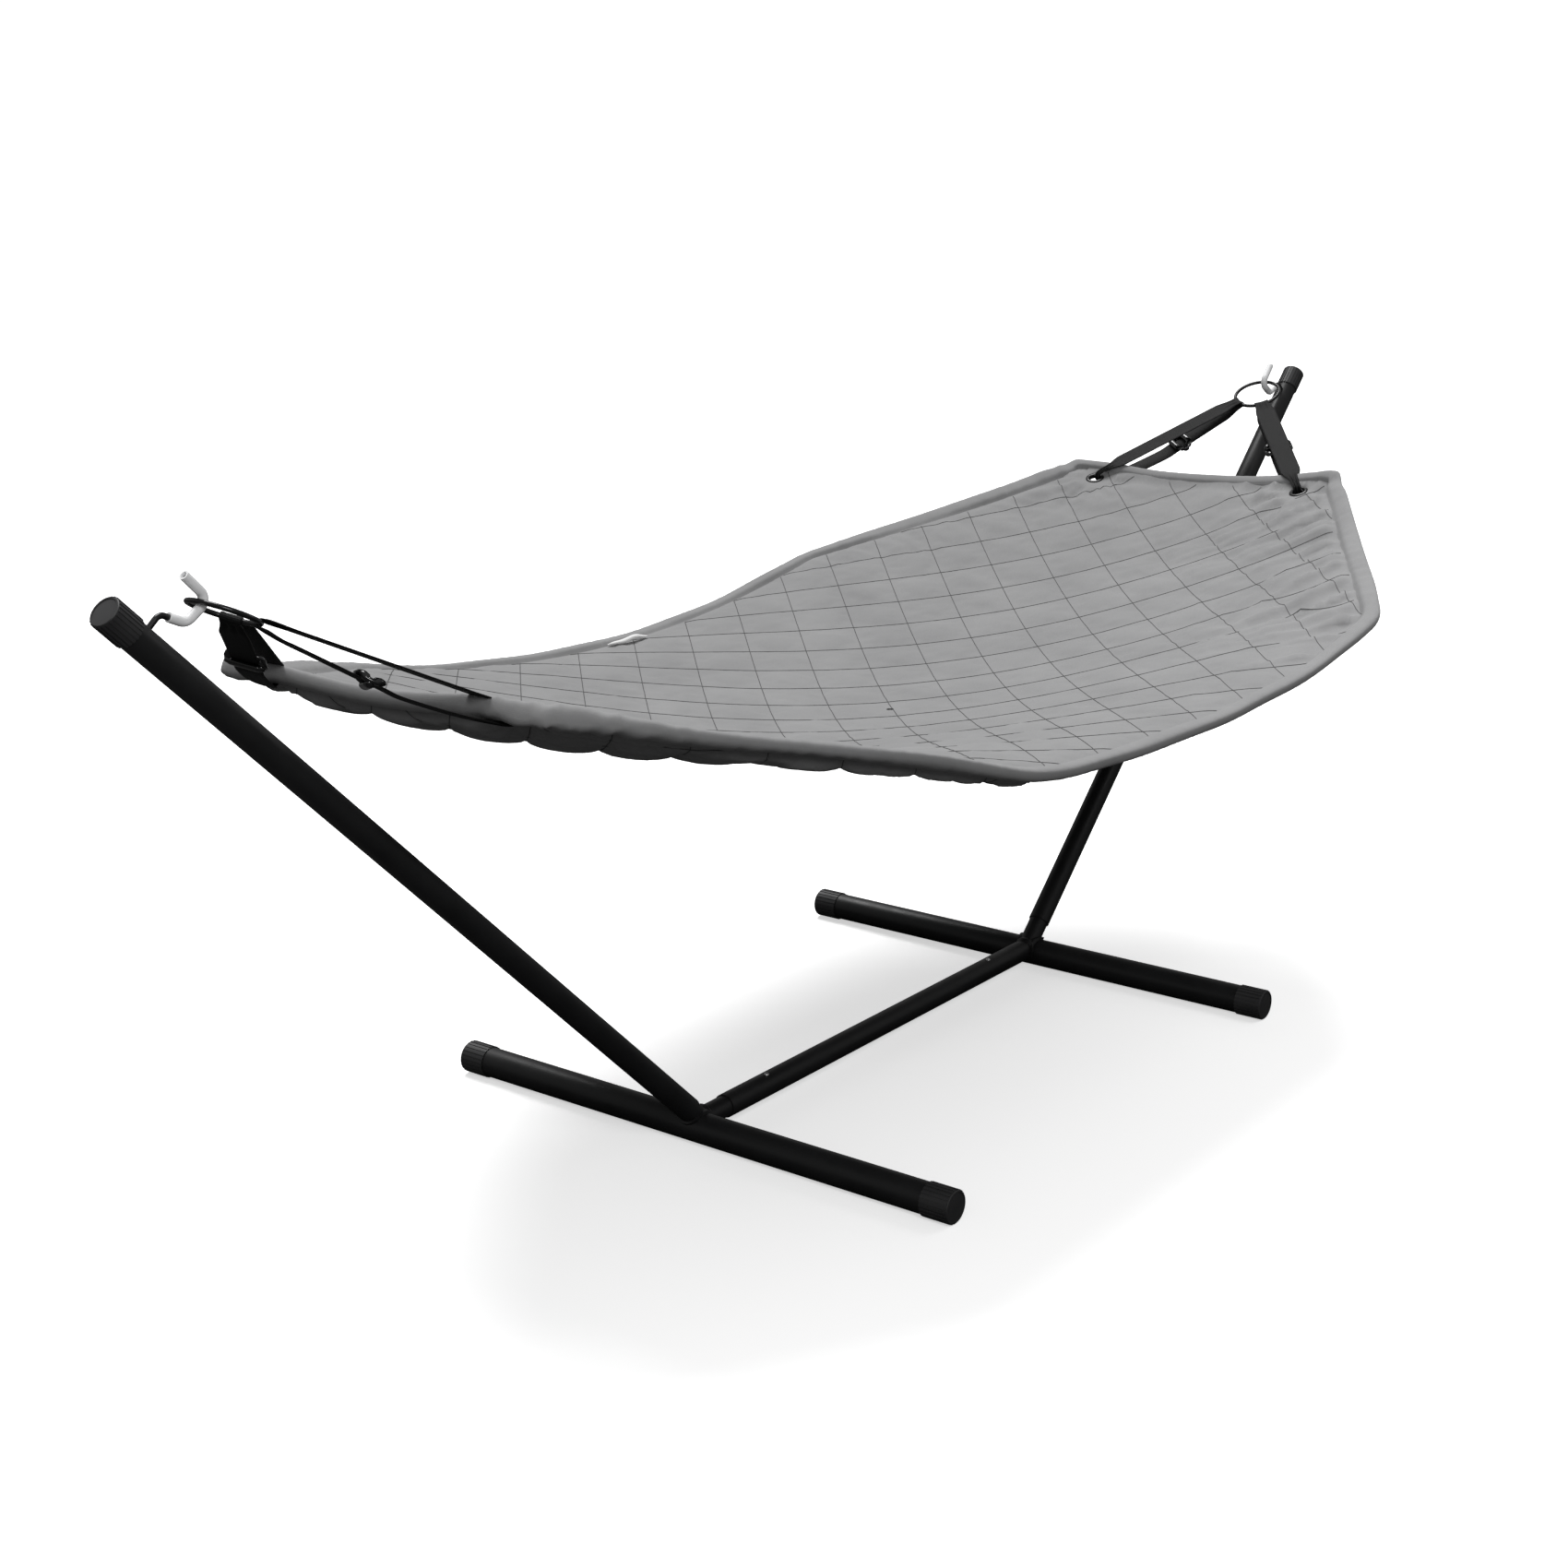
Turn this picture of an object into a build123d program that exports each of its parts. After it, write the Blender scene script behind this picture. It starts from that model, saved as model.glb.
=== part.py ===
from build123d import *
import math
import os

# Hammock on a stand: a quilted, eight-sided hammock hung by two hooks between the leaning posts of
# a take-apart tubular steel stand. Millimetres, +Z up. The origin is on the floor, under the middle
# of the stand. +X runs along the stand to its right end and -Y is the front. LEFT and RIGHT are the
# signs of X, FRONT and BACK are the signs of Y, and most pieces are made once for each sign.

os.makedirs("parts", exist_ok=True)

LEFT, RIGHT = -1, 1
FRONT, BACK = -1, 1
END_NAMES = {LEFT: "left", RIGHT: "right"}
SIDE_NAMES = {FRONT: "front", BACK: "back"}

# Stand tubes
wall = 1.5
foot_x = 513.6                 # foot tubes, from the middle of the stand
foot_length = 1000.0           # over the end caps
foot_r = 25.5
foot_cap_r = 27.5
foot_cap_length = 50.0
foot_axis_z = foot_cap_r       # the feet stand on the caps' ribs
base_axis_z = 35.0
main_r = 20.0                  # base tube and posts
stub_r = 18.0                  # the stubs that they slide over
base_tube_left_x = -438.0
base_tube_right_x = 478.0
post_foot_x = 501.2            # where the post axis meets the base axis
post_angle = 43.6              # from the floor
post_top = 1468.0              # along the post axis, to the cap's face
post_start = {LEFT: 38.0, RIGHT: 62.0}
post_stub_end = 160.0
post_cap_r = 22.25
post_cap_length = 45.0
cap_wall = 3.0
cap_ribs = 24
weld_size = 5.0

# Spring buttons that lock the base tube to the stubs
button_x = {LEFT: -330.0, RIGHT: 356.0}
button_tilt = 13.0             # off the top of the tube, towards the front
button_r = 4.0
button_gap = 0.3
button_top = 23.0              # from the tube's axis
button_flange_top = 15.0
button_flange_r = 5.5
button_floor = 13.2
stub_past_button = 24.0
spring_width = 9.0
spring_thickness = 0.8
spring_length = 52.0

# Hooks, in the middle plane: route of the rod's centre line at the right end
hook_tail = (1518.0, 1005.0)
hook_bend = (1487.0, 1030.5)
hook_valley = (1449.0, 1013.5)
hook_nose = (1412.5, 1036.5)
hook_tip = (1444.0, 1068.5)
hook_sleeve_start = (1474.0, 1024.855)
hook_sleeve_tip = (1447.0, 1071.545)
hook_radii = (12.0, 18.0, 14.0)
hook_rod_r = 4.0
sleeve_r = 6.5
sleeve_bore_r = 4.2

# Rings: each hangs on its hook and slopes down to the hammock
ring_wire_r = 3.5
ring_r = 46.0                  # to the middle of the wire
ring_slope = 27.0
ring_hang_x = 1431.7           # middle of the wire where it hangs on the hook
ring_hang_z = 1037.6

# Hammock
half_length = 1160.0
end_half_width = 300.0
corner_x = 620.0
half_width = 630.0
end_corner_r = 30.0
side_corner_r = 70.0
centre_height = 613.0          # middle of the quilt's thickness
end_rise = 244.0
side_rise = 120.0
side_flattening = 70.0       # taken off the side rise again towards the hems
side_tilt = 16.0             # the front hem hangs this much above level, the back hem below
wadding_thickness = 11.0
cover_thickness = 1.5
sheet_margin = 40.0

# Grommets and straps
grommet_x = 1121.0
grommet_y = 231.0
grommet_hole_r = 11.0
grommet_barrel_r = 12.0
grommet_flange_r = 19.0
grommet_flange = 1.5
grommet_clearance = 0.3
strap_thickness = 2.0
strap_half_width = 20.0
strap_ring_half_width = 13.0
strap_hole_half_width = 8.0
strap_reach = 9.0              # past the middle of the ring's wire
strap_ring_half_height = 7.5
strap_low_point = (190.0, -32.0)
strap_under_hem = (287.0, -28.0)
strap_hole_drop = -21.5
buckle_at = 144.0
buckle_half_length = 13.0
buckle_half_width = 25.0
buckle_bar = 4.0
buckle_bar_gap = 0.5
buckle_end_bar = 4.0

# Small sewn-in pieces
eyelet_hole_r = 2.5
eyelet_flange_r = 6.0
eyelet_y = -22.0
label_size = (105.0, 25.0, 0.8)
label_at = (13.0, 580.0)

post_lean = math.radians(post_angle)


def finish(piece, label):
    """Name a sub-part and write its file."""
    piece.part.label = label
    export_step(piece.part, f"parts/{label}.step")
    print(f"{label}: {len(piece.part.solids())} solid(s), {piece.part.volume / 1000:.1f} cm3")


def post_point(end, along, across=0.0):
    """A point of the middle plane, along the post's axis and across it towards its upper side."""
    x = post_foot_x + along * math.cos(post_lean) - across * math.sin(post_lean)
    z = base_axis_z + along * math.sin(post_lean) + across * math.cos(post_lean)
    return Vector(end * x, 0, z)


def post_plane(end, along):
    """The plane square to the post, with its normal up the post."""
    up_the_post = Vector(end * math.cos(post_lean), 0, math.sin(post_lean))
    return Plane(origin=post_point(end, along), x_dir=(0, 1, 0), z_dir=up_the_post)


def base_plane(x):
    """The plane square to the base tube, with its normal along +X."""
    return Plane(origin=(x, 0, base_axis_z), x_dir=(0, 1, 0), z_dir=(1, 0, 0))


def foot_plane(end, y, normal=1):
    """The plane square to a foot tube."""
    return Plane(origin=(end * foot_x, y, foot_axis_z), x_dir=(1, 0, 0), z_dir=(0, normal, 0))


def button_plane(end, height):
    """The plane square to a spring button's axis, at a height above the base tube's axis."""
    tilt = math.radians(button_tilt)
    outward = Vector(0, -math.sin(tilt), math.cos(tilt))
    centre = Vector(button_x[end], 0, base_axis_z) + outward * height
    return Plane(origin=centre, x_dir=(1, 0, 0), z_dir=outward)


def rod(radius, plane, length):
    """A solid round bar, used on its own to cut and to trim."""
    return plane * Cylinder(radius, length, align=(Align.CENTER, Align.CENTER, Align.MIN))


def foot_envelope(extra=0.0):
    """The outside of both foot tubes, as solid bars."""
    length = foot_length / 2
    left = rod(foot_r + extra, foot_plane(LEFT, -length / 2), length)
    right = rod(foot_r + extra, foot_plane(RIGHT, -length / 2), length)
    return left, right


# ---------------------------------------------------------------- stand: feet
def build_foot_tube(end):
    tube_length = foot_length - 2 * cap_wall
    with BuildPart() as foot_tube:
        with BuildSketch(foot_plane(end, -tube_length / 2)):
            Circle(foot_r)
            Circle(foot_r - wall, mode=Mode.SUBTRACT)
        extrude(amount=tube_length)
    finish(foot_tube, f"foot_tube_{END_NAMES[end]}")


def build_ribbed_cap(label, face_plane, tube_r, cap_r, length):
    """A moulded cup over a tube's end. face_plane is its outer face, with the normal outwards."""
    rib_height = 1.1
    rib_width = math.pi * cap_r / cap_ribs
    rim_r = cap_r - 4.0
    with BuildPart() as cap:
        with BuildSketch(face_plane.offset(-length)):
            Circle(cap_r - rib_height)
        extrude(amount=length)
        chamfer(cap.faces().sort_by(lambda f: (f.center() - face_plane.origin).length)[0].edges(), 1.0)
        with BuildSketch(face_plane.offset(-length)):
            with PolarLocations(cap_r - rib_height, cap_ribs, start_angle=90):
                Rectangle(2 * rib_height, rib_width)
        extrude(amount=length - 2.0)
        with BuildSketch(face_plane.offset(-length)):
            Circle(tube_r + 0.1)
        extrude(amount=length - cap_wall, mode=Mode.SUBTRACT)
        with BuildSketch(face_plane):
            Circle(rim_r)
        extrude(amount=-1.0, mode=Mode.SUBTRACT)
    finish(cap, label)


# ---------------------------------------------------------------- stand: stubs, welds and tubes
def base_stub_span(end):
    """The base stub's ends along X, from the foot's middle to past its button."""
    return end * foot_x, button_x[end] - end * stub_past_button


def base_stub_bar(end, radius, inner_x=None):
    """The base stub's outside as a solid bar, running inwards from the foot's middle."""
    outer, inner = base_stub_span(end)
    if inner_x is not None:
        inner = inner_x
    return rod(radius, base_plane(min(outer, inner)), abs(outer - inner))


def build_base_stub(end):
    outer, inner = base_stub_span(end)
    feet = foot_envelope()
    with BuildPart() as base_stub:
        with BuildSketch(base_plane(min(outer, inner))):
            Circle(stub_r)
            Circle(stub_r - wall, mode=Mode.SUBTRACT)
        extrude(amount=abs(outer - inner))
        add(feet, mode=Mode.SUBTRACT)
        with BuildSketch(button_plane(end, 0)):
            Circle(button_r + button_gap)
        extrude(amount=2 * stub_r, mode=Mode.SUBTRACT)
    finish(base_stub, f"base_stub_{END_NAMES[end]}")


def build_post_stub(end):
    neighbours = [*foot_envelope(), base_stub_bar(end, stub_r)]
    with BuildPart() as post_stub:
        with BuildSketch(post_plane(end, 0)):
            Circle(stub_r)
            Circle(stub_r - wall, mode=Mode.SUBTRACT)
        extrude(amount=post_stub_end)
        add(neighbours, mode=Mode.SUBTRACT)
    finish(post_stub, f"post_stub_{END_NAMES[end]}")


def build_weld(end):
    """The bead that runs round the three-way joint of foot tube, base stub and post stub."""
    foot_inside = foot_envelope()[0 if end == LEFT else 1]
    foot_outside = foot_envelope(weld_size)[0 if end == LEFT else 1]
    bead_reach = end * (foot_x - 50.0)
    base_inside = base_stub_bar(end, stub_r, bead_reach)
    base_outside = base_stub_bar(end, stub_r + weld_size, bead_reach)
    post_inside = rod(stub_r, post_plane(end, 0), 60)
    post_outside = rod(stub_r + weld_size, post_plane(end, 0), 60)
    with BuildPart() as weld:
        add(post_outside & foot_outside)
        add(base_outside & foot_outside)
        add(post_outside & base_outside)
        add([foot_inside, base_inside, post_inside], mode=Mode.SUBTRACT)
    finish(weld, f"weld_{END_NAMES[end]}")


def build_base_tube():
    with BuildPart() as base_tube:
        with BuildSketch(base_plane(base_tube_left_x)):
            Circle(main_r)
            Circle(main_r - wall, mode=Mode.SUBTRACT)
        extrude(amount=base_tube_right_x - base_tube_left_x)
        for end in (LEFT, RIGHT):
            with BuildSketch(button_plane(end, 0)):
                Circle(button_r + button_gap)
            extrude(amount=2 * main_r, mode=Mode.SUBTRACT)
    finish(base_tube, "base_tube")


def build_post(end):
    hook_hole_plane = hook_tail_plane(end)
    with BuildPart() as post:
        with BuildSketch(post_plane(end, post_start[end])):
            Circle(main_r)
            Circle(main_r - wall, mode=Mode.SUBTRACT)
        extrude(amount=post_top - cap_wall - post_start[end])
        with BuildSketch(hook_hole_plane):
            Circle(hook_rod_r + 0.1)
        extrude(amount=30, mode=Mode.SUBTRACT)
    finish(post, f"post_{END_NAMES[end]}")


# ---------------------------------------------------------------- stand: spring buttons
def build_button(end):
    """The pin that stands out through both tubes, with the flange that keeps it in."""
    with BuildPart() as button:
        with BuildSketch(button_plane(end, button_floor)):
            Circle(button_flange_r)
        extrude(amount=button_flange_top - button_floor)
        with BuildSketch(button_plane(end, button_flange_top)):
            Circle(button_r)
        extrude(amount=button_top - button_flange_top)
        rim = button.edges().group_by(lambda e: (e.center() - button_plane(end, 40).origin).length)[0]
        fillet(rim, 2.6)
    finish(button, f"button_{END_NAMES[end]}")


def build_button_spring(end):
    """The folded steel strip under the button, drawn as it lies with the button pressed in."""
    toward_middle = -end
    low = -(stub_r - wall - 1.5)
    tip = button_floor - 6.2
    plane = button_plane(end, 0)
    side_plane = Plane(origin=plane.origin, x_dir=(toward_middle, 0, 0), z_dir=plane.z_dir.cross(
        Vector(toward_middle, 0, 0)) * -1)
    with BuildPart() as button_spring:
        with BuildSketch(side_plane):
            with BuildLine():
                FilletPolyline(
                    (-8, tip), (8, tip), (spring_length - 20, low + 6), (spring_length - 20, low), (-8, low),
                    radius=2.5,
                )
                offset(amount=spring_thickness / 2, side=Side.BOTH)
            make_face()
        extrude(amount=spring_width / 2, both=True)
    finish(button_spring, f"button_spring_{END_NAMES[end]}")


# ---------------------------------------------------------------- hooks and rings
def middle_plane_points(end, points):
    """Points given as (x, z) at the right end, put in the middle plane at either end."""
    return [(end * x, 0, z) for x, z in points]


def hook_tail_plane(end):
    """The plane square to the hook's tail, at its end inside the post."""
    tail, bend = middle_plane_points(end, (hook_tail, hook_bend))
    return Plane(origin=tail, x_dir=(0, 1, 0), z_dir=Vector(*bend) - Vector(*tail))


def build_hook(end):
    points = middle_plane_points(end, (hook_tail, hook_bend, hook_valley, hook_nose, hook_tip))
    with BuildPart() as hook:
        with BuildLine() as route:
            FilletPolyline(*points, radius=hook_radii)
        with BuildSketch(hook_tail_plane(end)):
            Circle(hook_rod_r)
        sweep(path=route.wire())
    finish(hook, f"hook_{END_NAMES[end]}")


def build_hook_sleeve(end):
    """The clear plastic tube pushed over the hook, a little longer than the rod."""
    points = middle_plane_points(end, (hook_sleeve_start, hook_valley, hook_nose, hook_sleeve_tip))
    start_plane = Plane(origin=points[0], x_dir=(0, 1, 0), z_dir=Vector(*points[1]) - Vector(*points[0]))
    with BuildPart() as sleeve:
        with BuildLine() as route:
            FilletPolyline(*points, radius=hook_radii[1:])
        with BuildSketch(start_plane):
            Circle(sleeve_r)
            Circle(sleeve_bore_r, mode=Mode.SUBTRACT)
        sweep(path=route.wire())
    finish(sleeve, f"hook_sleeve_{END_NAMES[end]}")


def ring_inboard(end):
    """The direction in the ring's plane that runs down towards the hammock."""
    slope = math.radians(ring_slope)
    return Vector(-end * math.cos(slope), 0, -math.sin(slope))


def ring_centre(end):
    return Vector(end * ring_hang_x, 0, ring_hang_z) + ring_inboard(end) * ring_r


def build_ring(end):
    ring_plane = Plane(origin=ring_centre(end), x_dir=(0, 1, 0), z_dir=ring_inboard(end).cross(Vector(0, 1, 0)))
    with BuildPart() as ring:
        with Locations(ring_plane):
            Torus(ring_r, ring_wire_r)
    finish(ring, f"ring_{END_NAMES[end]}")


# ---------------------------------------------------------------- hammock
def hammock_height(x, y):
    """Height of the middle of the quilt: it rises to both ends and a little to both sides."""
    u = x / half_length
    v = y / half_width
    return centre_height + end_rise * u**2 + side_rise * v**2 - side_flattening * v**4 - side_tilt * v


def hammock_plane(x, y, lift=0.0):
    """The plane that touches the quilt's middle surface, lifted along its normal."""
    v = y / half_width
    slope_x = 2 * end_rise * x / half_length**2
    slope_y = (2 * side_rise * v - 4 * side_flattening * v**3 - side_tilt) / half_width
    normal = Vector(-slope_x, -slope_y, 1).normalized()
    origin = Vector(x, y, hammock_height(x, y)) + normal * lift
    return Plane(origin=origin, x_dir=Vector(1, 0, slope_x), z_dir=normal)


def hammock_sheet(lift):
    """A smooth rectangular face of the quilt's shape, larger than the hammock on every side."""
    columns = 13
    rows = 9
    reach_x = half_length + sheet_margin
    reach_y = half_width + sheet_margin
    grid = []
    for i in range(columns):
        x = reach_x * (2 * i / (columns - 1) - 1)
        column = []
        for j in range(rows):
            y = reach_y * (2 * j / (rows - 1) - 1)
            column.append(Vector(x, y, hammock_height(x, y) + lift))
        grid.append(column)
    return Face.make_surface_from_array_of_points(grid)


def grommet_places():
    for end in (LEFT, RIGHT):
        for side in (FRONT, BACK):
            yield end, side


def build_hammock_layer(label, low, high):
    """One layer of the quilt between two heights over its middle surface."""
    outline = [
        (half_length, end_half_width),
        (corner_x, half_width),
        (-corner_x, half_width),
        (-half_length, end_half_width),
        (-half_length, -end_half_width),
        (-corner_x, -half_width),
        (corner_x, -half_width),
        (half_length, -end_half_width),
    ]
    sheet = hammock_sheet(low)
    with BuildPart() as layer:
        extrude(sheet, amount=high - low, dir=(0, 0, 1))
        with BuildSketch() as plan:
            Polygon(*outline, align=None)
            fillet(plan.vertices().filter_by(lambda v: abs(v.X) > corner_x + 1), end_corner_r)
            fillet(plan.vertices().filter_by(lambda v: abs(abs(v.X) - corner_x) < 1), side_corner_r)
        extrude(amount=2 * centre_height, mode=Mode.INTERSECT)
        for end, side in grommet_places():
            with Locations(hammock_plane(end * grommet_x, side * grommet_y)):
                Cylinder(grommet_barrel_r + grommet_clearance, 60, mode=Mode.SUBTRACT)
        with Locations(hammock_plane(0, eyelet_y)):
            Cylinder(eyelet_hole_r + 1.0, 60, mode=Mode.SUBTRACT)
    finish(layer, label)


def build_eyelet(label, plane, hole_r, barrel_r, flange_r, flange):
    """A pressed metal eyelet: a barrel through the quilt with a flange on each face."""
    half_gap = wadding_thickness / 2 + cover_thickness + grommet_clearance
    with BuildPart() as eyelet:
        with BuildSketch(plane.offset(-half_gap)):
            Circle(barrel_r)
        extrude(amount=2 * half_gap)
        with BuildSketch(plane.offset(half_gap)):
            Circle(flange_r)
        extrude(amount=flange)
        with BuildSketch(plane.offset(-half_gap - flange)):
            Circle(flange_r)
        extrude(amount=flange)
        fillet(eyelet.faces().filter_by(GeomType.PLANE).sort_by(plane_axis(plane))[-1].edges(), flange * 0.6)
        with Locations(plane):
            Cylinder(hole_r, 80, mode=Mode.SUBTRACT)
    finish(eyelet, label)


def plane_axis(plane):
    return Axis(plane.origin, plane.z_dir)


def build_label():
    x, y = label_at
    lift = wadding_thickness / 2 + cover_thickness + 1.2
    with BuildPart() as side_label:
        with BuildSketch(hammock_plane(x, y, lift)):
            Rectangle(label_size[0], label_size[1])
        extrude(amount=label_size[2])
    finish(side_label, "side_label")


# ---------------------------------------------------------------- straps and buckles
def strap_frame(end, side):
    """The strap's own plane: x runs from the ring to the grommet, y is up and z is its width."""
    lift = wadding_thickness / 2 + cover_thickness
    grommet = hammock_plane(end * grommet_x, side * grommet_y, lift).origin
    inboard = ring_inboard(end)
    sideways = Vector(0, side, 0)
    to_grommet = grommet - ring_centre(end)
    angle = math.atan2(to_grommet.dot(sideways), to_grommet.dot(inboard))
    start = ring_centre(end) + (inboard * math.cos(angle) + sideways * math.sin(angle)) * ring_r
    along = (grommet - start).normalized()
    tangent = inboard * -math.sin(angle) + sideways * math.cos(angle)
    across = (tangent - along * tangent.dot(along)).normalized() * (end * side)
    return Plane(origin=start, x_dir=along, z_dir=across), (grommet - start).length


def build_strap(end, side):
    """A closed loop of webbing: over the hem, down through the grommet and back underneath."""
    frame, length = strap_frame(end, side)
    loop = [
        (-strap_reach, strap_ring_half_height),
        (length + 1.0, 5.0),
        (length + 1.0, strap_hole_drop),
        strap_under_hem,
        strap_low_point,
        (-strap_reach, -strap_ring_half_height),
    ]
    plan = [
        (-2 * strap_reach, strap_ring_half_width),
        (14.0, strap_ring_half_width),
        (42.0, strap_half_width),
        (length - 62.0, strap_half_width),
        (length - 24.0, strap_hole_half_width),
        (length + 20.0, strap_hole_half_width),
    ]
    plan_plane = Plane(origin=frame.origin, x_dir=frame.x_dir, z_dir=frame.y_dir)
    with BuildPart() as strap:
        with BuildSketch(frame) as profile:
            Polygon(*loop, align=None)
            fillet(profile.vertices(), 4.0)
            offset(amount=-strap_thickness, mode=Mode.SUBTRACT)
        extrude(amount=strap_half_width, both=True)
        with BuildSketch(plan_plane):
            Polygon(*plan, *[(u, -w) for u, w in reversed(plan)], align=None)
        extrude(amount=100, both=True, mode=Mode.INTERSECT)
    finish(strap, f"strap_{END_NAMES[end]}_{SIDE_NAMES[side]}")


def buckle_frame(end, side):
    """The plane in the middle of the lower run at the buckle: x along the strap, z through it."""
    frame, _ = strap_frame(end, side)
    run_start = Vector(-strap_reach, -strap_ring_half_height)
    run_end = Vector(*strap_low_point)
    run = (run_end - run_start).normalized()
    upward = Vector(-run.Y, run.X)
    centre = run_start + run * ((buckle_at + strap_reach) / run.X) + upward * (strap_thickness / 2)
    origin = frame.from_local_coords(centre)
    along = frame.x_dir * run.X + frame.y_dir * run.Y
    up = frame.x_dir * upward.X + frame.y_dir * upward.Y
    return Plane(origin=origin, x_dir=along, z_dir=up)


def build_buckle(end, side):
    """A tri-glide: outer bars over the webbing, a lower middle bar under it, joined at both ends."""
    frame = buckle_frame(end, side)
    near_face = strap_thickness / 2 + buckle_bar_gap
    far_face = near_face + buckle_bar * 0.75
    inner_half_width = strap_half_width + 1.0
    with BuildPart() as buckle:
        with BuildSketch(frame.offset(near_face)):
            with Locations((-buckle_half_length + buckle_bar / 2, 0), (buckle_half_length - buckle_bar / 2, 0)):
                Rectangle(buckle_bar, 2 * buckle_half_width)
        extrude(amount=far_face - near_face)
        with BuildSketch(frame.offset(-far_face)):
            Rectangle(buckle_bar, 2 * buckle_half_width)
        extrude(amount=far_face - near_face)
        with BuildSketch(frame.offset(-far_face)):
            with Locations((0, inner_half_width + buckle_end_bar / 2), (0, -inner_half_width - buckle_end_bar / 2)):
                RectangleRounded(2 * buckle_half_length, buckle_end_bar, 1.8)
        extrude(amount=2 * far_face)
    finish(buckle, f"buckle_{END_NAMES[end]}_{SIDE_NAMES[side]}")


# ---------------------------------------------------------------- build every piece
for stand_end in (LEFT, RIGHT):
    build_foot_tube(stand_end)
    build_base_stub(stand_end)
    build_post_stub(stand_end)
    build_weld(stand_end)
    build_post(stand_end)
    build_button(stand_end)
    build_button_spring(stand_end)
    build_hook(stand_end)
    build_hook_sleeve(stand_end)
    build_ring(stand_end)
    build_ribbed_cap(
        f"post_cap_{END_NAMES[stand_end]}", post_plane(stand_end, post_top), main_r, post_cap_r, post_cap_length)
    for foot_side in (FRONT, BACK):
        cap_face = foot_plane(stand_end, foot_side * foot_length / 2, foot_side)
        cap_label = f"foot_cap_{END_NAMES[stand_end]}_{SIDE_NAMES[foot_side]}"
        build_ribbed_cap(cap_label, cap_face, foot_r, foot_cap_r, foot_cap_length)
build_base_tube()

half_wadding = wadding_thickness / 2
build_hammock_layer("hammock_top_cover", half_wadding, half_wadding + cover_thickness)
build_hammock_layer("hammock_wadding", -half_wadding, half_wadding)
build_hammock_layer("hammock_under_cover", -half_wadding - cover_thickness, -half_wadding)
build_eyelet("drain_eyelet", hammock_plane(0, eyelet_y), eyelet_hole_r, eyelet_hole_r + 0.7, eyelet_flange_r, 0.8)
build_label()

for strap_end, strap_side in grommet_places():
    corner = f"{END_NAMES[strap_end]}_{SIDE_NAMES[strap_side]}"
    grommet_plane = hammock_plane(strap_end * grommet_x, strap_side * grommet_y)
    build_eyelet(
        f"grommet_{corner}", grommet_plane, grommet_hole_r, grommet_barrel_r, grommet_flange_r, grommet_flange)
    build_strap(strap_end, strap_side)
    build_buckle(strap_end, strap_side)
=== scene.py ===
import math

import bmesh
import bpy
import numpy as np
from mathutils import Matrix, Vector


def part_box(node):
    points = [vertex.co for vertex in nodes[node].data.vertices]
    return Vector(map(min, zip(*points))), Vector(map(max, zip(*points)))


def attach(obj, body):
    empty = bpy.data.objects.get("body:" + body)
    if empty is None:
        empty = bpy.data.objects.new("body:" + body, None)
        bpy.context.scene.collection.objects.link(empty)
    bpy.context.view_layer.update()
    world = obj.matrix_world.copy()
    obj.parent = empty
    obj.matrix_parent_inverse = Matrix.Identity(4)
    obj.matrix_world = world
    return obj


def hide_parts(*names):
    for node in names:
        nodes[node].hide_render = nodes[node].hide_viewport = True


# Hammock on a stand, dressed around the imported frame. Metres, +Z up, +X along the stand.
# LEFT and RIGHT are the signs of X, FRONT and BACK are the signs of Y.

LEFT, RIGHT = -1, 1
FRONT, BACK = -1, 1
END_NAMES = {LEFT: "left", RIGHT: "right"}
SIDE_NAMES = {FRONT: "front", BACK: "back"}
CORNERS = [(end, side) for end in (LEFT, RIGHT) for side in (FRONT, BACK)]
SEED = 7

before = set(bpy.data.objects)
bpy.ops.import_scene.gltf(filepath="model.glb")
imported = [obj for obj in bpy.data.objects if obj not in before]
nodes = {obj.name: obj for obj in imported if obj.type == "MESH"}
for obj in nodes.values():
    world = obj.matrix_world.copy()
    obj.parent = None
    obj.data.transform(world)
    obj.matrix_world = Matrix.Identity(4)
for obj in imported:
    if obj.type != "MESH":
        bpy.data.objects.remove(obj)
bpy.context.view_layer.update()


def corner_name(end, side):
    return f"{END_NAMES[end]}_{SIDE_NAMES[side]}"


def box_centre(node):
    low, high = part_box(node)
    return (low + high) / 2


# ---- camera, light and floor
CAMERA_AT = Vector((-3.22656, -2.24289, 1.59487))
CAMERA_AZIMUTH = -52.806
CAMERA_ELEVATION = 15.828
CAMERA_ROLL = -0.384
CAMERA_LENS = 54.39
FLOOR_SEEN = (0.93, 0.93, 0.93)
FLOOR_THROWN = (0.05, 0.05, 0.05)
FLOOR_GLOW = 0.55
FLOOR_EDGE = 30.0
SKY_LIGHT = 0.25
SKY_SEEN = 1.05
SUN_FROM = (0.45, 0.85, 2.4)
SUN_STRENGTH = 3.3
SUN_SPREAD = 34


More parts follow.
